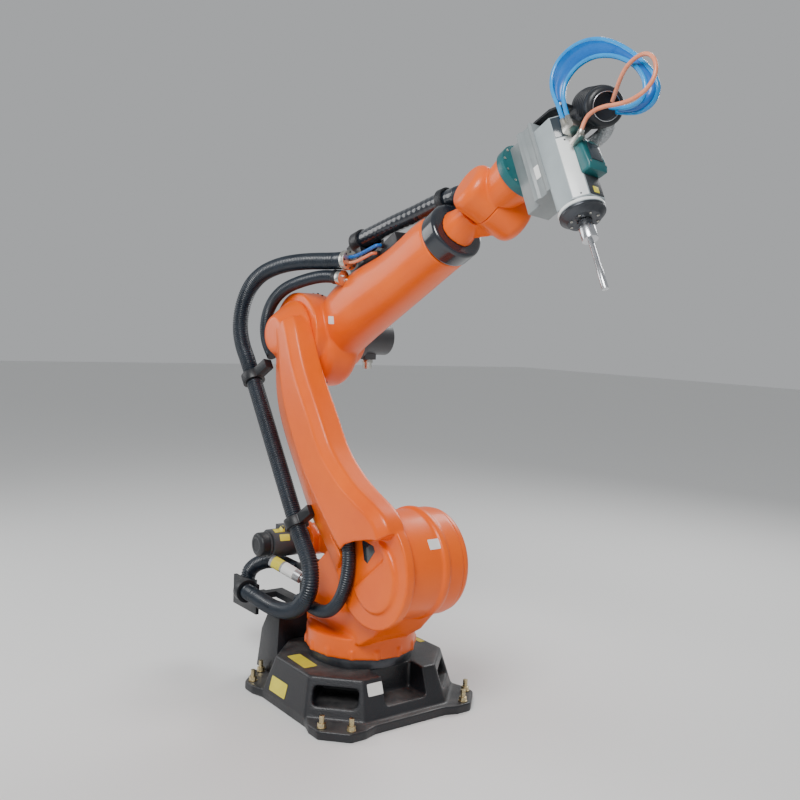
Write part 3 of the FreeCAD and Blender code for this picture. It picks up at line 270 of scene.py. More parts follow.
def makeFinish(name, v):
    material = bpy.data.materials.new(name)
    material.use_nodes = True
    tree = material.node_tree
    shader = tree.nodes["Principled BSDF"]
    place = tree.nodes.new("ShaderNodeTexCoord")
    grain = addNode(tree, "ShaderNodeGroup", {"node_tree": surfaceGrain}, Vector=(place, "Object"),
                    Fine_Scale=float(v["fine"]), Broad_Scale=float(v["broad"]),
                    Wear_Size=float(v["wearSize"]),
                    Wear_Amount=v["wear"])
    dust = addNode(tree, "ShaderNodeGroup", {"node_tree": settledDust}, Vector=(place, "Object"),
                   Amount=v["dust"])
    drifted = addNode(tree, "ShaderNodeMix", {"data_type": "RGBA"}, _0=(grain, "Tone"),
                      _6=(*v["base"], 1),
                      _7=(*v["drift"], 1))
    worn = addNode(tree, "ShaderNodeMix", {"data_type": "RGBA"}, _0=(grain, "Wear"), _6=(drifted,
            2), _7=(*v["worn"], 1))
    dusty = addNode(tree, "ShaderNodeMix", {"data_type": "RGBA"}, _0=(dust, "Mask"), _6=(worn, 2),
                    _7=(0.42, 0.40, 0.37, 1))
    tree.links.new(dusty.outputs[2], shader.inputs["Base Color"])
    rough = addNode(tree, "ShaderNodeMapRange", Value=(grain, "Tone"), To_Min=v["rough"][0],
                    To_Max=v["rough"][1])
    roughest = addNode(tree, "ShaderNodeMath", {"operation": "ADD", "use_clamp": True}, _0=(rough,
            "Result"),
                       _1=(dust, "Mask"))
    tree.links.new(roughest.outputs[0], shader.inputs["Roughness"])
    bump = addNode(tree, "ShaderNodeBump", Height=(grain, "Grain"), Distance=v["grain"] * 6,
                   Strength=0.6)
    tree.links.new(bump.outputs["Normal"], shader.inputs["Normal"])
    shader.inputs["Metallic"].default_value = v.get("metal", 0.0)
    shader.inputs["Coat Weight"].default_value = v.get("coat", 0.0)
    shader.inputs["Coat Roughness"].default_value = 0.12
    shader.inputs["Specular IOR Level"].default_value = v.get("specular", 0.5)
    return material


materials = {name: makeFinish(name, values) for name, values in finishes.items()}
print("materials made")


# helpers for pieces
def newPiece(name, mesh, finish, body=None):
    piece = bpy.data.objects.new(name, mesh)
    bpy.context.collection.objects.link(piece)
    if finish:
        mesh.materials.clear()
        mesh.materials.append(materials[finish])
    if body:
        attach(piece, body)
    return piece


def smoothShade(mesh, degrees=32):
    mesh.polygons.foreach_set("use_smooth", [True] * len(mesh.polygons))
    mesh.set_sharp_from_angle(angle=math.radians(degrees))


def fromBmesh(name, bm, finish, body, degrees=32):
    bmesh.ops.recalc_face_normals(bm, faces=bm.faces)
    mesh = bpy.data.meshes.new(name)
    bm.to_mesh(mesh)
    bm.free()
    smoothShade(mesh, degrees)
    return newPiece(name, mesh, finish, body)


# The object's mesh with its modifiers in it.
def applied(obj):
    bpy.context.view_layer.update()
    mesh = bpy.data.meshes.new_from_object(obj.evaluated_get(bpy.context.evaluated_depsgraph_get()))
    obj.modifiers.clear()
    obj.data = mesh
    return obj


def mergedCopy(name, node):
    bm = bmesh.new()
    bm.from_mesh(frame["nodes"][node].data)
    bmesh.ops.remove_doubles(bm, verts=bm.verts, dist=0.00002)
    mesh = bpy.data.meshes.new(name)
    bm.to_mesh(mesh)
    bm.free()
    return mesh


bodyOf = {node: body for body,
          nodes in frame["record"]["behaviour"]["bodies"].items() for node in nodes}
slotOf = {part["node"]: part["material_slot"] for part in frame["record"]["subparts"]}


# A casting with its edges rounded off, in place of its plain solid.
def softCasting(name, node, finish, voxel, rounds):
    piece = newPiece(name, mergedCopy(name, node), None)
    remesh = piece.modifiers.new("remesh", "REMESH")
    remesh.mode = "VOXEL"
    remesh.voxel_size = voxel
    applied(piece)
    bm = bmesh.new()
    bm.from_mesh(piece.data)
    for _ in range(rounds):
        bmesh.ops.smooth_vert(bm, verts=bm.verts, factor=0.5, use_axis_x=True, use_axis_y=True,
                              use_axis_z=True)
    bm.to_mesh(piece.data)
    bm.free()
    piece.data.polygons.foreach_set("use_smooth", [True] * len(piece.data.polygons))
    piece.data.materials.clear()
    piece.data.materials.append(materials[finish])
    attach(piece, bodyOf[node])
    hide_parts(node)
    return piece


# A machined or moulded piece with small even bevels, in place of its plain solid.
def crispCopy(name, node, finish, width):
    piece = newPiece(name, mergedCopy(name, node), None)
    bevel = piece.modifiers.new("bevel", "BEVEL")
    bevel.width = width
    bevel.segments = 2
    bevel.limit_method = "ANGLE"
    bevel.angle_limit = math.radians(38)
    applied(piece)
    smoothShade(piece.data, 34)
    piece.data.materials.clear()
    piece.data.materials.append(materials[finish])
    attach(piece, bodyOf[node])
    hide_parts(node)
    return piece


# A place whose Z points along normal and whose Y is as near to up as it can be.
def facing(origin, normal, up=(0, 0, 1)):
    z = Vector(normal).normalized()
    x = Vector(up).cross(z).normalized()
    place = Matrix((x, z.cross(x), z)).transposed().to_4x4()
    place.translation = origin
    return place


def moveVerts(bm, verts, way):
    bmesh.ops.translate(bm, verts=verts, vec=way)


# A round head with a socket in it.
def addScrew(bm, place, radius, height, sides=12, socket=True):
    start = bmesh.ops.create_circle(bm, cap_ends=True, segments=sides, radius=radius, matrix=place)
    up = place.to_3x3() @ Vector((0, 0, 1))
    face = start["verts"][0].link_faces[0]
    top = bmesh.ops.extrude_face_region(bm, geom=[face])["geom"]
    moveVerts(bm, [g for g in top if isinstance(g, bmesh.types.BMVert)], up * height)
    cap = [g for g in top if isinstance(g, bmesh.types.BMFace)]
    bmesh.ops.inset_region(bm, faces=cap, thickness=radius * 0.16, depth=0)
    moveVerts(bm, cap[0].verts, up * height * 0.12)
    if socket:
        bmesh.ops.inset_region(bm, faces=cap, thickness=radius * 0.34, depth=0)
        bmesh.ops.inset_region(bm, faces=cap, thickness=radius * 0.02, depth=-height * 0.6)


# Places round a circle about the place's Z.
def ringPlaces(place, radius, count, first=0.0):
    return [place @ Matrix.Rotation(math.radians(first + 360 * k / count), 4,
                                    "Z") @ Matrix.Translation((radius, 0, 0))
            for k in range(count)]


def screwSet(name, places, radius, height, finish, body, socket=True):
    bm = bmesh.new()
    for place in places:
        addScrew(bm, place, radius, height, socket=socket)
    return fromBmesh(name, bm, finish, body)


def surfaceOf(piece):
    bm = bmesh.new()
    bm.from_mesh(piece.data)
    tree = BVHTree.FromBMesh(bm)
    bm.free()
    return tree


# Lays a flat mesh on a surface that it faces.
def stickOn(bm, place, surface, lift):
    z = place.to_3x3() @ Vector((0, 0, 1))
    for v in bm.verts:
        hit = surface.ray_cast(v.co + z * 0.05, -z, 0.12)
        if hit[0] is not None:
            v.co = hit[0] + z * lift


# A thin blank label with rounded corners that follows the surface under it.
def makeTag(name, place, wide, high, surface, finish, body):
    bm = bmesh.new()
    made = bmesh.ops.create_grid(bm, x_segments=10, y_segments=6, size=0.5)
    bmesh.ops.scale(bm, verts=made["verts"], vec=(wide, high, 1))
    corners = [v for v in bm.verts if len(v.link_edges) == 2]
    for v in corners:
        v.co *= 0.97
    bmesh.ops.transform(bm, matrix=place, verts=bm.verts)
    stickOn(bm, place, surface, 0.0012)
    z = place.to_3x3() @ Vector((0, 0, 1))
    under = bmesh.ops.extrude_face_region(bm, geom=bm.faces[:])["geom"]
    moveVerts(bm, [g for g in under if isinstance(g, bmesh.types.BMVert)], -z * 0.0016)
    return fromBmesh(name, bm, finish, body)


# hoses and lines
def routeCurve(name, points, place):
    curve = bpy.data.curves.new(name, "CURVE")
    curve.dimensions = "3D"
    line = curve.splines.new("NURBS")
    line.points.add(len(points) - 1)
    for knot, point in zip(line.points, points):
        knot.co = (*(place @ Vector(point)), 1)
    line.order_u = 3
    line.use_endpoint_u = True
    return bpy.data.objects.new(name, curve)


def centreLine(route):
    route.data.bevel_depth = 0
    bpy.context.collection.objects.link(route)
    bpy.context.view_layer.update()
    mesh = bpy.data.meshes.new_from_object(route.evaluated_get(bpy.context.evaluated_depsgraph_get()))
    points = np.array([v.co[:] for v in mesh.vertices])
    bpy.data.meshes.remove(mesh)
    return points


def runLength(points):
    return float(np.linalg.norm(np.diff(points, axis=0), axis=1).sum())


# A tube along the route, with its centreline, and rings close enough for ribs.
def tubeAlong(name, points, place, radius, spacing, around=5):
    route = routeCurve(name, points, place)
    route.data.resolution_u = 24
    length = runLength(centreLine(route))
    route.data.resolution_u = max(4, int(length / (len(points) - 2) / spacing))
    bpy.context.collection.objects.unlink(route)
    line = centreLine(route)
    route.data.bevel_depth = radius
    route.data.bevel_resolution = around
    bpy.context.view_layer.update()
    mesh = bpy.data.meshes.new_from_object(route.evaluated_get(bpy.context.evaluated_depsgraph_get()))
    bpy.data.objects.remove(route)
    return mesh, line, length


# Draws each ring of the tube in or out, so that ribs run along it.
def ribbed(mesh, line, pitch, groove, radius):
    flat = np.empty(len(mesh.vertices) * 3)
    mesh.vertices.foreach_get("co", flat)
    rings = flat.reshape(len(line), -1, 3)
    along = np.r_[0, np.cumsum(np.linalg.norm(np.diff(line, axis=0), axis=1))]
    wave = 0.5 - 0.5 * np.cos(2 * np.pi * along / pitch)
    share = 1 - groove / radius * wave
    rings = line[:, None, :] + (rings - line[:, None, :]) * share[:, None, None]
    mesh.vertices.foreach_set("co", rings.reshape(-1))


def closeEnds(mesh):
    bm = bmesh.new()
    bm.from_mesh(mesh)
    bmesh.ops.holes_fill(bm, edges=[e for e in bm.edges if e.is_boundary])
    bmesh.ops.recalc_face_normals(bm, faces=bm.faces)
    bm.to_mesh(mesh)
    bm.free()


def makeHose(name, points, place, radius, finish, node, pitch=0.0, groove=0.0, bodies=None):
    spacing = min(pitch, 0.012) / 6 if pitch else radius * 0.5
    mesh, line, length = tubeAlong(name, points, place, radius, spacing)
    if pitch:
        ribbed(mesh, line, pitch, groove, radius)
    closeEnds(mesh)
    smoothShade(mesh, 60)
    piece = newPiece(name, mesh, finish)
    if bodies:
        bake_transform(piece)
    else:
        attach(piece, bodyOf[node])
    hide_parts(node)
    return piece, line


# centrelines in metres
routes = dict(
    rearHose=[
        (-0.734, -0.178, 0.336), (-0.75, -0.17, 0.392), (-0.711, -0.152, 0.438), (-0.655, -0.135,
                0.467),
        (-0.594, -0.118, 0.484), (-0.53, -0.102, 0.484), (-0.466, -0.09, 0.474), (-0.4005, -0.09,
                0.474)],
    linkHose=[
        (-0.1311, -0.27, 0.7693), (-0.275, -0.27, 0.9675), (-0.4209, -0.269, 1.1683),
        (-0.5668, -0.268, 1.3674)],
    columnHose=[
        (-0.1308, -0.27, 0.7688), (-0.0957, -0.27, 0.7205), (-0.045, -0.277, 0.682), (0.022, -0.283,
                0.612),
        (0.03, -0.288, 0.51), (-0.04, -0.288, 0.425), (-0.138, -0.286, 0.378), (-0.247, -0.283,
                0.357),
        (-0.356, -0.279, 0.353), (-0.465, -0.275, 0.357), (-0.574, -0.272, 0.362)],
    innerColumn=[
        (0.2308, -0.2442, 0.773), (0.246, -0.2442, 0.702), (0.243, -0.246, 0.631), (0.223, -0.246,
                0.562),
        (0.186, -0.246, 0.501), (0.132, -0.242, 0.454), (0.068, -0.234, 0.425), (-0.001, -0.222,
                0.41),
        (-0.072, -0.21, 0.403), (-0.143, -0.2, 0.401), (-0.214, -0.194, 0.4)],
    elbowHose=[
        (-0.5674, -0.268, 1.3681), (-0.6262, -0.2676, 1.4483), (-0.6925, -0.265, 1.5183),
        (-0.7351, -0.259, 1.6044), (-0.734, -0.248, 1.7047), (-0.6923, -0.233, 1.7938),
        (-0.6159, -0.217, 1.8503), (-0.5234, -0.201, 1.8801), (-0.4268, -0.185, 1.8965),
        (-0.3277, -0.168, 1.9034), (-0.2265, -0.151, 1.9044), (-0.1264, -0.133, 1.9019),
        (-0.0278, -0.115, 1.9046)],
    innerElbow=[
        (-0.4902, -0.212, 1.4768), (-0.5344, -0.212, 1.5183), (-0.5633, -0.212, 1.5694),
        (-0.566, -0.212, 1.6259), (-0.5433, -0.212, 1.6795), (-0.503, -0.212, 1.7253),
        (-0.4526, -0.208, 1.7614), (-0.3944, -0.2, 1.7895), (-0.3186, -0.186, 1.8112),
        (-0.2535, -0.171, 1.8257), (-0.1947, -0.156, 1.8352), (-0.1376, -0.142, 1.837),
        (-0.077, -0.129, 1.8314)],
    airLine=[
        (-0.0231, -0.113, 1.9167), (0.0064, -0.1076, 1.9175), (0.0983, -0.0843, 1.9539),
        (0.1177, -0.0763, 1.9642), (0.1177, -0.0583, 1.9642)],
    signalLine=[
        (-0.0221, -0.1151, 1.8928), (0.0074, -0.1097, 1.8936), (0.069, -0.0843, 1.9237),
        (0.0885, -0.0763, 1.934), (0.0885, -0.0583, 1.934)],
    forearmHose=[
        (-0.1411, 0.008, 1.9957), (-0.062, 0.008, 2.0173), (0.0261, 0.011, 2.039), (0.127, 0.018,
                2.0664),
        (0.2297, 0.031, 2.0925), (0.3243, 0.042, 2.1211), (0.4036, 0.045, 2.1382), (0.4794, 0.045,
                2.1489)],
    braid=[
        (0.405, -0.071, 0.048), (0.458, -0.073, 0.056), (0.508, -0.071, 0.056), (0.546, -0.059,
                0.03),
        (0.556, -0.045, -0.012)],
    blueInner=[
        (0.476, 0.06, 0.01), (0.476, 0.06, -0.033), (0.481, 0.057, -0.076), (0.501, 0.053, -0.113),
        (0.538, 0.047, -0.134), (0.579, 0.039, -0.139), (0.62, 0.031, -0.129), (0.656, 0.023,
                -0.106),
        (0.686, 0.016, -0.077), (0.711, 0.009, -0.042), (0.73, 0.002, -0.004), (0.739, -0.003,
                0.037),
        (0.736, -0.005, 0.08), (0.71, -0.004, 0.112), (0.668, -0.001, 0.105), (0.631, 0.002, 0.083),
        (0.6, 0.004, 0.054)],
    blueOuter=[
        (0.456, 0.062, 0.008), (0.456, 0.062, -0.041), (0.448, 0.058, -0.09), (0.446, 0.055,
                -0.139),
        (0.46, 0.05, -0.185), (0.495, 0.043, -0.219), (0.542, 0.035, -0.229), (0.59, 0.028, -0.22),
        (0.632, 0.022, -0.197), (0.668, 0.015, -0.164), (0.697, 0.009, -0.125), (0.721, 0.001,
                -0.082),
        (0.74, -0.007, -0.038), (0.755, -0.016, 0.008), (0.766, -0.023, 0.056), (0.761, -0.029,
                0.104),
        (0.721, -0.032, 0.129), (0.673, -0.032, 0.121), (0.633, -0.031, 0.093), (0.597, -0.028,
                0.06)],
    salmonLoop=[
        (0.511, 0.06, 0.092), (0.535, 0.057, 0.063), (0.573, 0.051, 0.059), (0.61, 0.046, 0.072),
        (0.643, 0.043, 0.093), (0.677, 0.039, 0.11), (0.715, 0.035, 0.121), (0.753, 0.031, 0.121),
        (0.788, 0.027, 0.105), (0.807, 0.024, 0.072), (0.807, 0.022, 0.033), (0.787, 0.022, 0.001),
        (0.75, 0.024, -0.011), (0.711, 0.024, -0.008), (0.675, 0.017, 0.004), (0.64, 0.005, 0.019),
        (0.606, -0.009, 0.03)],
    toolRear=[
        (0.4797, 0.045, 2.1489), (0.5094, 0.045, 2.1531), (0.5245, 0.0531, 2.151), (0.5366, 0.0692,
                2.1458),
        (0.5504, 0.0805, 2.1467), (0.577, 0.0883, 2.1583)],
    toolMiddle=[
        (0.5772, 0.0884, 2.1584), (0.6038, 0.0963, 2.1699), (0.6421, 0.1081, 2.1882),
        (0.6798, 0.1192, 2.2084), (0.7176, 0.1275, 2.2294), (0.7436, 0.1317, 2.2438)],
    toolFront=[
        (0.7439, 0.1317, 2.2439), (0.7959, 0.1401, 2.2727), (0.8857, 0.1441, 2.3295),
        (0.978, 0.1288, 2.3812), (1.0693, 0.0949, 2.3943), (1.1227, 0.0694, 2.3841)])


hoses = dict(
    rearHose=dict(place=onFloor, radius=0.0375, node="rear_hose", pitch=0.0105, groove=0.0040,
                  free=False),
    linkHose=dict(place=onFloor, radius=0.0375, node="link_hose", pitch=0.0105, groove=0.0040,
                  free=False),
    columnHose=dict(place=onFloor, radius=0.0375, node="column_hose", pitch=0.0105, groove=0.0040,
                    bodies=("upper_arm", "column")),
    innerColumn=dict(place=onFloor, radius=0.028, node="inner_column_hose", pitch=0.0095,
                     groove=0.0034,
                     bodies=("upper_arm", "column")),
    elbowHose=dict(place=onFloor, radius=0.0375, node="elbow_hose", pitch=0.0105, groove=0.0040,
                   bodies=("upper_arm", "lower_arm")),
    innerElbow=dict(place=onFloor, radius=0.028, node="inner_elbow_hose", pitch=0.0095,
                    groove=0.0034,
                    bodies=("upper_arm", "lower_arm")),
    forearmHose=dict(place=onFloor, radius=0.0375, node="forearm_hose", pitch=0.03, groove=0.0008,
                     free=False,
                     finish="ringGloss"),
    toolRear=dict(place=onFloor, radius=0.0375, node="tool_hose_rear", pitch=0.0105, groove=0.0040,
                  free=False,
                  bodies=("lower_arm", "hand")),
    toolMiddle=dict(place=onFloor, radius=0.0375, node="tool_hose_middle", pitch=0.0105,
                    groove=0.0040, free=False,
                    bodies=("hand", "swivel")),
    toolFront=dict(place=onFloor, radius=0.0375, node="tool_hose_front", pitch=0.0105,
                   groove=0.0040, free=False,
                   bodies=("swivel", "tool")),
    salmonLoop=dict(place=onTool, radius=0.007, node="signal_hose", finish="salmonLine"),
)
for name, h in hoses.items():
    points = routes[name]
    makeHose(name, points, h["place"], h["radius"], h.get("finish", "hoseBlack"), h["node"],
             h.get("pitch", 0),
             h.get("groove", 0), bodies=h.get("bodies"))
print("hoses made")


def makePair(name, first, second, place, radii, finishes, node):
    pieces = []
    for tag, radius, finish in zip((first, second), radii, finishes):
        mesh, line, length = tubeAlong(tag, routes[tag], place, radius, 0.004)
        closeEnds(mesh)
        smoothShade(mesh, 60)
        piece = newPiece(tag, mesh, finish, bodyOf[node])
        pieces.append((piece, line))
    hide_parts(node)
    return pieces


(blueInner, innerLine), (blueOuter, outerLine) = makePair(
    "blueHoses", "blueInner", "blueOuter", onTool, (0.008, 0.008), ("blueHose", "blueHose"),
    "blue_hoses")
makePair("supplyLines", "airLine", "signalLine", onFloor, (0.008, 0.007), ("blueWeb", "salmonLine"),
         "supply_lines")


def evenPoints(line, count):
    along = np.r_[0, np.cumsum(np.linalg.norm(np.diff(line, axis=0), axis=1))]
    want = np.linspace(0, along[-1], count)
    return np.column_stack([np.interp(want, along, line[:, k]) for k in range(3)])


# the flat web that joins the two blue hoses
def makeWeb(count=90):
    bm = bmesh.new()
    inner, outer = evenPoints(innerLine, count), evenPoints(outerLine, count)
    rows = [[bm.verts.new(Vector(p)) for p in side] for side in (inner, outer)]
    strips = [[bm.edges.new(pair) for pair in zip(row[8:], row[9:-2])] for row in rows]
    bmesh.ops.bridge_loops(bm, edges=strips[0] + strips[1])
    bmesh.ops.delete(bm, geom=[v for v in bm.verts if not v.link_faces], context="VERTS")
    web = fromBmesh("blueWeb", bm, "blueWeb", "tool", 60)
    thick = web.modifiers.new("thick", "SOLIDIFY")
    thick.thickness = 0.007
    thick.offset = 0
    return web


makeWeb()

finishOf = dict(orange_paint="orangeEnamel", black_paint="blackCasting", dark_metal="darkSteel",
                motor_grey="motorGrey", plated_steel="zincSteel", steel="turnedSteel",
                black_plastic="blackPlastic",
                hose_black="hoseBlack", blue_hose="blueHose", orange_hose="salmonLine",
                teal_plastic="tealCover",
                grey_paint="greyPaint")
castings = dict(rotating_column=(0.0052, 3), base_casting=(0.006, 3), link_arm=(0.0055, 4),
                forearm=(0.0052, 4),
                wrist_hand=(0.0036, 4), wrist_swivel=(0.0032, 3))
shown = {}
for node, (voxel, rounds) in castings.items():
    shown[node] = softCasting(node + "Soft", node, finishOf[slotOf[node]], voxel, rounds)
print("castings made")

specialFinish = dict(wrist_ring="ringGloss", motor_cap="blackPlastic", spindle_body="greyPaint",
                     braided_coupling="braidSteel", anchor_bolts="brassZinc",
                     spindle_bracket="bracketGrey", accumulator="cylinderGrey")
replaced = {h["node"] for h in hoses.values()} | {"blue_hoses", "supply_lines"} | set(castings)
for node in frame["nodes"]:
    if node not in replaced:
        finish = specialFinish.get(node, finishOf[slotOf[node]])
        shown[node] = crispCopy(node + "Crisp", node, finish, 0.0016)
print("machined pieces made")

surfaces = {node: surfaceOf(piece) for node, piece in shown.items()}


def onSurface(node, point, normal, up=(0, 0, 1)):
    way = Vector(normal).normalized()
    hit = surfaces[node].ray_cast(Vector(point) + way * 0.08, -way, 0.2)
    spot = hit[0] if hit[0] is not None else Vector(point)
    return facing(spot, way, up)


# blank labels
sideOfTool, backOfTool = onTool.to_3x3() @ Vector((0, 1, 0)), onTool.to_3x3() @ Vector((1, 0, 0))
tags = dict(
    deckTag=dict(at=(-0.02, -0.285, 0.195), normal=(0, 0, 1), up=(0.05, 1, 0), wide=0.16,
                 high=0.062,
                 node="base_casting", finish="yellowTag"),
    skirtTag=dict(at=(-0.06, -0.375, 0.085), normal=(0, -0.97, 0.25), wide=0.13, high=0.062,
                  node="base_casting", finish="yellowTag"),
    rearDeckTag=dict(at=(0.012, 0.318, 0.195), normal=(0, 0, 1), up=(0, 1, 0), wide=0.06,
                     high=0.028,
                     node="base_casting", finish="yellowTag"),
    frontTag=dict(at=(0.313, -0.135, 0.155), normal=(0.94, 0, 0.33), wide=0.075, high=0.05,
                  node="base_casting", finish="whiteTag"),
    drumTag=dict(at=(0.537, -0.044, 0.793), normal=(0.85, 0, 0.5), wide=0.052, high=0.042,
                 node="rotating_column", finish="whiteTag"),
    forearmTag=dict(at=(-0.138, -0.126, 1.648), normal=(0.1, -0.98, -0.16), wide=0.04, high=0.034,
                    node="forearm", finish="whiteTag"),
    bracketTag=dict(at=onTool @ Vector((0.302, 0.07, 0.11)), normal=sideOfTool, up=backOfTool,
                    wide=0.05,
                    high=0.022, node="spindle_bracket", finish="whiteTag"),
    motorTag=dict(at=(-0.43, -0.185, 0.67), normal=(0.4, -0.2, 0.9), up=(0, 1, 0), wide=0.03,
                  high=0.05,
                  node="shoulder_motor", finish="yellowTag"),
    motorSideTag=dict(at=(-0.40, -0.17, 0.64), normal=(0.95, -0.2, 0.2), up=(0, 0, 1), wide=0.05,
                      high=0.03,
                      node="shoulder_motor", finish="yellowTag"),
)
for name, t in tags.items():
    makeTag(name, facing(t["at"], t["normal"], t.get("up", (0, 0, 1))), t["wide"], t["high"],
            surfaces[t["node"]],
            t["finish"], bodyOf[t["node"]])
print("labels made")


# a closed profile of (radius, height) turned about the place's Z
def turnedPiece(name, profile, place, finish, body, steps=64):
    bm = bmesh.new()
    verts = [bm.verts.new((r, 0, z)) for r, z in profile]
    edges = [bm.edges.new(pair) for pair in zip(verts, verts[1:] + verts[:1])]
    bmesh.ops.spin(bm, geom=verts + edges, cent=(0, 0, 0), axis=(0, 0, 1), angle=math.tau,
                   steps=steps,
                   use_merge=True)
    bmesh.ops.remove_doubles(bm, verts=bm.verts, dist=0.00001)
    bmesh.ops.transform(bm, matrix=place, verts=bm.verts)
    return fromBmesh(name, bm, finish, body)


def ringBand(inner, outer, low, high, soft=0.0008):
    return [(inner, low), (outer - soft, low), (outer, low + soft), (outer, high - soft),
            (outer - soft, high),
            (inner, high)]


# a thin plate with softened edges over a flat outline
def flatPanel(name, corners, place, thick, finish, body):
    bm = bmesh.new()
    face = bm.faces.new([bm.verts.new(Vector(c)) for c in corners])
    bm.normal_update()
    way = face.normal.copy()
    top = bmesh.ops.extrude_face_region(bm, geom=[face])["geom"]
    moveVerts(bm, [g for g in top if isinstance(g, bmesh.types.BMVert)], way * thick)
    bmesh.ops.bevel(bm, geom=bm.edges[:], offset=thick * 0.35, offset_type="OFFSET", segments=2,
                    profile=0.5,
                    affect="EDGES", material=-1)
    bmesh.ops.transform(bm, matrix=place, verts=bm.verts)
    return fromBmesh(name, bm, finish, body)


# spindle: the outline's front and half width, corner cut, and heights along it
spindle = dict(axis=0.375, front=0.451, half=0.074, cut=0.04, head=-0.03, foot=0.296, collar=0.31,
               lift=0.0012)


def cutCorner(low, high, margin):
    a = (spindle["front"] - margin, spindle["half"] - spindle["cut"] + margin)
    b = (spindle["front"] - spindle["cut"] + margin, spindle["half"] - margin)
    return [(*a, low), (*b, low), (*b, high), (*a, high)]


def frontFace(low, high, half, at):
    return [(at, -half, low), (at, half, low), (at, half, high), (at, -half, high)]


panels = dict(
    whiteStrip=dict(corners=cutCorner(0.058, 0.292, 0.0015), finish="palePaint", thick=0.0016),
    topWindow=dict(corners=cutCorner(-0.026, 0.054, 0.0025), finish="darkWindowAndPaintedShade", thick=0.002),
    lowerPanel=dict(corners=frontFace(0.216, 0.29, 0.031, 0.451), finish="motorGrey", thick=0.0025),
    coverInset=dict(corners=frontFace(0.116, 0.182, 0.026, 0.4905), finish="darkWindowAndPaintedShade",
                    thick=0.0035),
    lowerTag=dict(corners=frontFace(0.258, 0.282, 0.012, 0.4535), finish="yellowTag", thick=0.001),
)
for name, p in panels.items():
    flatPanel(name, p["corners"], onTool, p["thick"], p["finish"], "tool")

turnedPiece("whiteCollar", ringBand(0.0765, 0.0785, 0.2975, 0.308),
            onTool @ Matrix.Translation((0.375, 0, 0)),
            "palePaint", "tool")
for k, (radius, low, high) in enumerate([(0.0772, 0.3115, 0.3145), (0.0772, 0.317, 0.3195)]):
    turnedPiece(f"noseRidge{k}", ringBand(0.070, radius, low, high, 0.0005),
                onTool @ Matrix.Translation((0.375, 0, 0)), "darkSteel", "tool")

# hose holder ribs
holder = dict(start=(0.476, -0.064, -0.066), end=(0.584, -0.004, 0.034), radius=0.066)
holderWay = (Vector(holder["end"]) - Vector(holder["start"])).normalized()
onHolder = onTool @ facing(holder["start"], holderWay, (0, 0, -1))
for k in range(6):
    low = 0.034 + 0.0165 * k
    turnedPiece(f"holderRib{k}", ringBand(0.0645, 0.0685, low, low + 0.006, 0.0016), onHolder,
                "blackPlastic",
                "tool")
turnedPiece("holderLip", ringBand(0.0452, 0.0475, 0.152, 0.1605, 0.0008), onHolder, "turnedSteel",
            "tool")

# motor cap and pressure cylinder bands
onMotor = facing((-0.452, -0.226, 0.606), (0, -1, 0))
turnedPiece("motorBand", ringBand(0.0555, 0.0575, 0.004, 0.014), onMotor, "motorGrey", "column")
turnedPiece("motorCapRing", ringBand(0.030, 0.036, 0.0615, 0.0635), onMotor, "motorGrey", "column")
cylinder = dict(start=(-0.395, -0.235, 0.54), end=(-0.25, -0.165, 0.486), radius=0.027)
cylinderWay = (Vector(cylinder["end"]) - Vector(cylinder["start"]))
onCylinder = facing(cylinder["start"], cylinderWay)
for name, low, high, finish in (("cylinderYellow", 0.08, 0.36, "yellowTag"), ("cylinderWhite", 0.42,
        0.8, "whiteTag")):
    r, long = cylinder["radius"], cylinderWay.length
    turnedPiece(name, ringBand(r - 0.001, r + 0.0008, low * long, high * long, 0.0003), onCylinder,
                finish,
                "column")

# cuff at the end of the inner elbow hose, and the two clips beyond its gland
onInnerEnd = facing((-0.077, -0.129, 1.8314), (0.0606, 0.013, -0.0057))
turnedPiece("innerCuff", ringBand(0.0, 0.0315, -0.03, -0.0004, 0.002), onInnerEnd, "blackPlastic",
            "lower_arm")
for k, (x, y) in enumerate(((-0.012, 0.008), (0.012, -0.006))):
    flatPanel(f"whiteClip{k}", [(x + i * 0.006, y + j * 0.004, 0.0242) for i, j in
                                ((-1, -1), (1, -1), (1, 1), (-1, 1))], onInnerEnd, 0.014,
              "palePaint", "lower_arm")

# painted shade: a thin dark plate beside the hub, standing in for the shade of the recess there
flatPanel("hubPaintedShade", [(x, -0.2161, z) for x, z in ((0.292, 0.778), (0.372, 0.768), (0.384,
        0.748),
                                                      (0.336, 0.69), (0.312, 0.70))][::-1],
          onFloor, 0.0003, "darkWindowAndPaintedShade", "column")

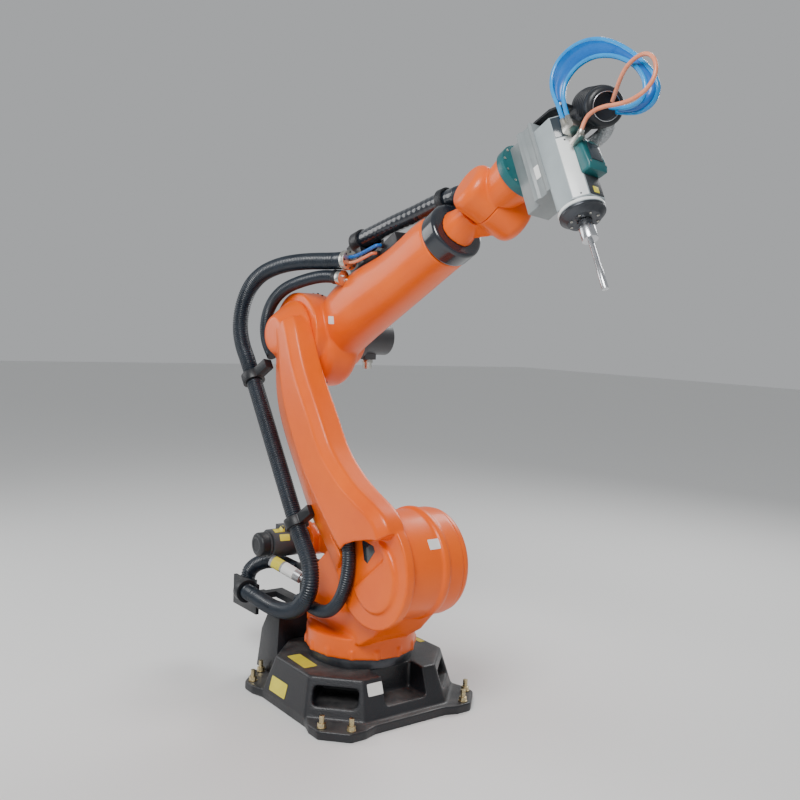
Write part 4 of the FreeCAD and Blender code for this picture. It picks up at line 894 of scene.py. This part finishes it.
# rings of screws: place, radius of the ring, count, head radius, head height, first angle
rings = dict(
    elbowScrews=dict(places=[onSurface("forearm", elbow + Vector((0.19 * math.cos(a), -0.07,
            0.19 * math.sin(a))),
                                       (math.cos(a), 0, math.sin(a))) for a in
                             (math.radians(12 * k) for k in range(6, 26))],
                     radius=0.0045, height=0.0035, finish="darkSteel", body="lower_arm"),
    capScrews=dict(places=ringPlaces(facing((0.35, 0.132, 0.675), (0, 1, 0)), 0.15, 12),
                   radius=0.008, height=0.006, finish="zincSteel", body="column"),
    clampScrews=dict(places=ringPlaces(facing((-0.0232, -0.1141, 1.9048), (0.9834, 0.1797, 0.0268)),
                                       0.034, 8),
                     radius=0.0042, height=0.003, finish="darkSteel", body="lower_arm"),
    noseScrews=dict(places=ringPlaces(onTool @ facing((0.375, 0, 0.3396), (0, 0, 1), (0, 1, 0)),
                                      0.047, 8, 22.5),
                    radius=0.0045, height=0.0025, finish="zincSteel", body="tool"),
    ringScrews=dict(places=ringPlaces(onTool @ facing((0.196, 0, 0), (1, 0, 0)), 0.09, 12, 15),
                    radius=0.005, height=0.003, finish="zincSteel", body="tool"),
    stripScrews=dict(places=[onTool @ facing((0.4325, 0.0535, z), (1, 1, 0)) for z in (0.07,
            0.283)],
                     radius=0.003, height=0.002, finish="darkSteel", body="tool"),
    coverScrews=dict(places=[onTool @ facing((0.4905, y, z), (1, 0, 0)) for y in (-0.035, 0.035)
                             for z in (0.11, 0.192)],
                     radius=0.004, height=0.002, finish="zincSteel", body="tool"),
)
for name, r in rings.items():
    screwSet(name, r["places"], r["radius"], r["height"], r["finish"], r["body"])
print("screws made")

# floor and light
def makeFloor():
    bm = bmesh.new()
    bmesh.ops.create_grid(bm, x_segments=1, y_segments=1, size=30)
    mesh = bpy.data.meshes.new("studioFloor")
    bm.to_mesh(mesh)
    bm.free()
    floor = bpy.data.objects.new("studioFloor", mesh)
    bpy.context.collection.objects.link(floor)
    material = bpy.data.materials.new("paleFloor")
    material.use_nodes = True
    shader = material.node_tree.nodes["Principled BSDF"]
    shader.inputs["Base Color"].default_value = (0.8, 0.8, 0.79, 1)
    shader.inputs["Roughness"].default_value = 0.7
    mesh.materials.append(material)


def makeLight(name, place, target, size, watts, colour=(1, 1, 1)):
    data = bpy.data.lights.new(name, "AREA")
    data.shape = "DISK"
    data.size = size
    data.energy = watts
    data.color = colour
    lamp = bpy.data.objects.new(name, data)
    way = Vector(target) - Vector(place)
    lamp.matrix_world = Matrix.Translation(place) @ way.to_track_quat("-Z",
            "Y").to_matrix().to_4x4()
    bpy.context.collection.objects.link(lamp)


makeFloor()
world = bpy.data.worlds.new("studio")
world.use_nodes = True
world.node_tree.nodes["Background"].inputs["Color"].default_value = (0.86, 0.88, 0.9, 1)
world.node_tree.nodes["Background"].inputs["Strength"].default_value = 0.5
bpy.context.scene.world = world
makeLight("keyLight", (2.6, -3.4, 4.6), (0, 0, 1.1), 2.4, 260)
makeLight("fillLight", (-3.6, -3.0, 2.6), (0, 0, 1.2), 3.0, 70)
makeLight("backLight", (-1.0, 4.2, 4.2), (0, 0, 1.3), 2.6, 150)
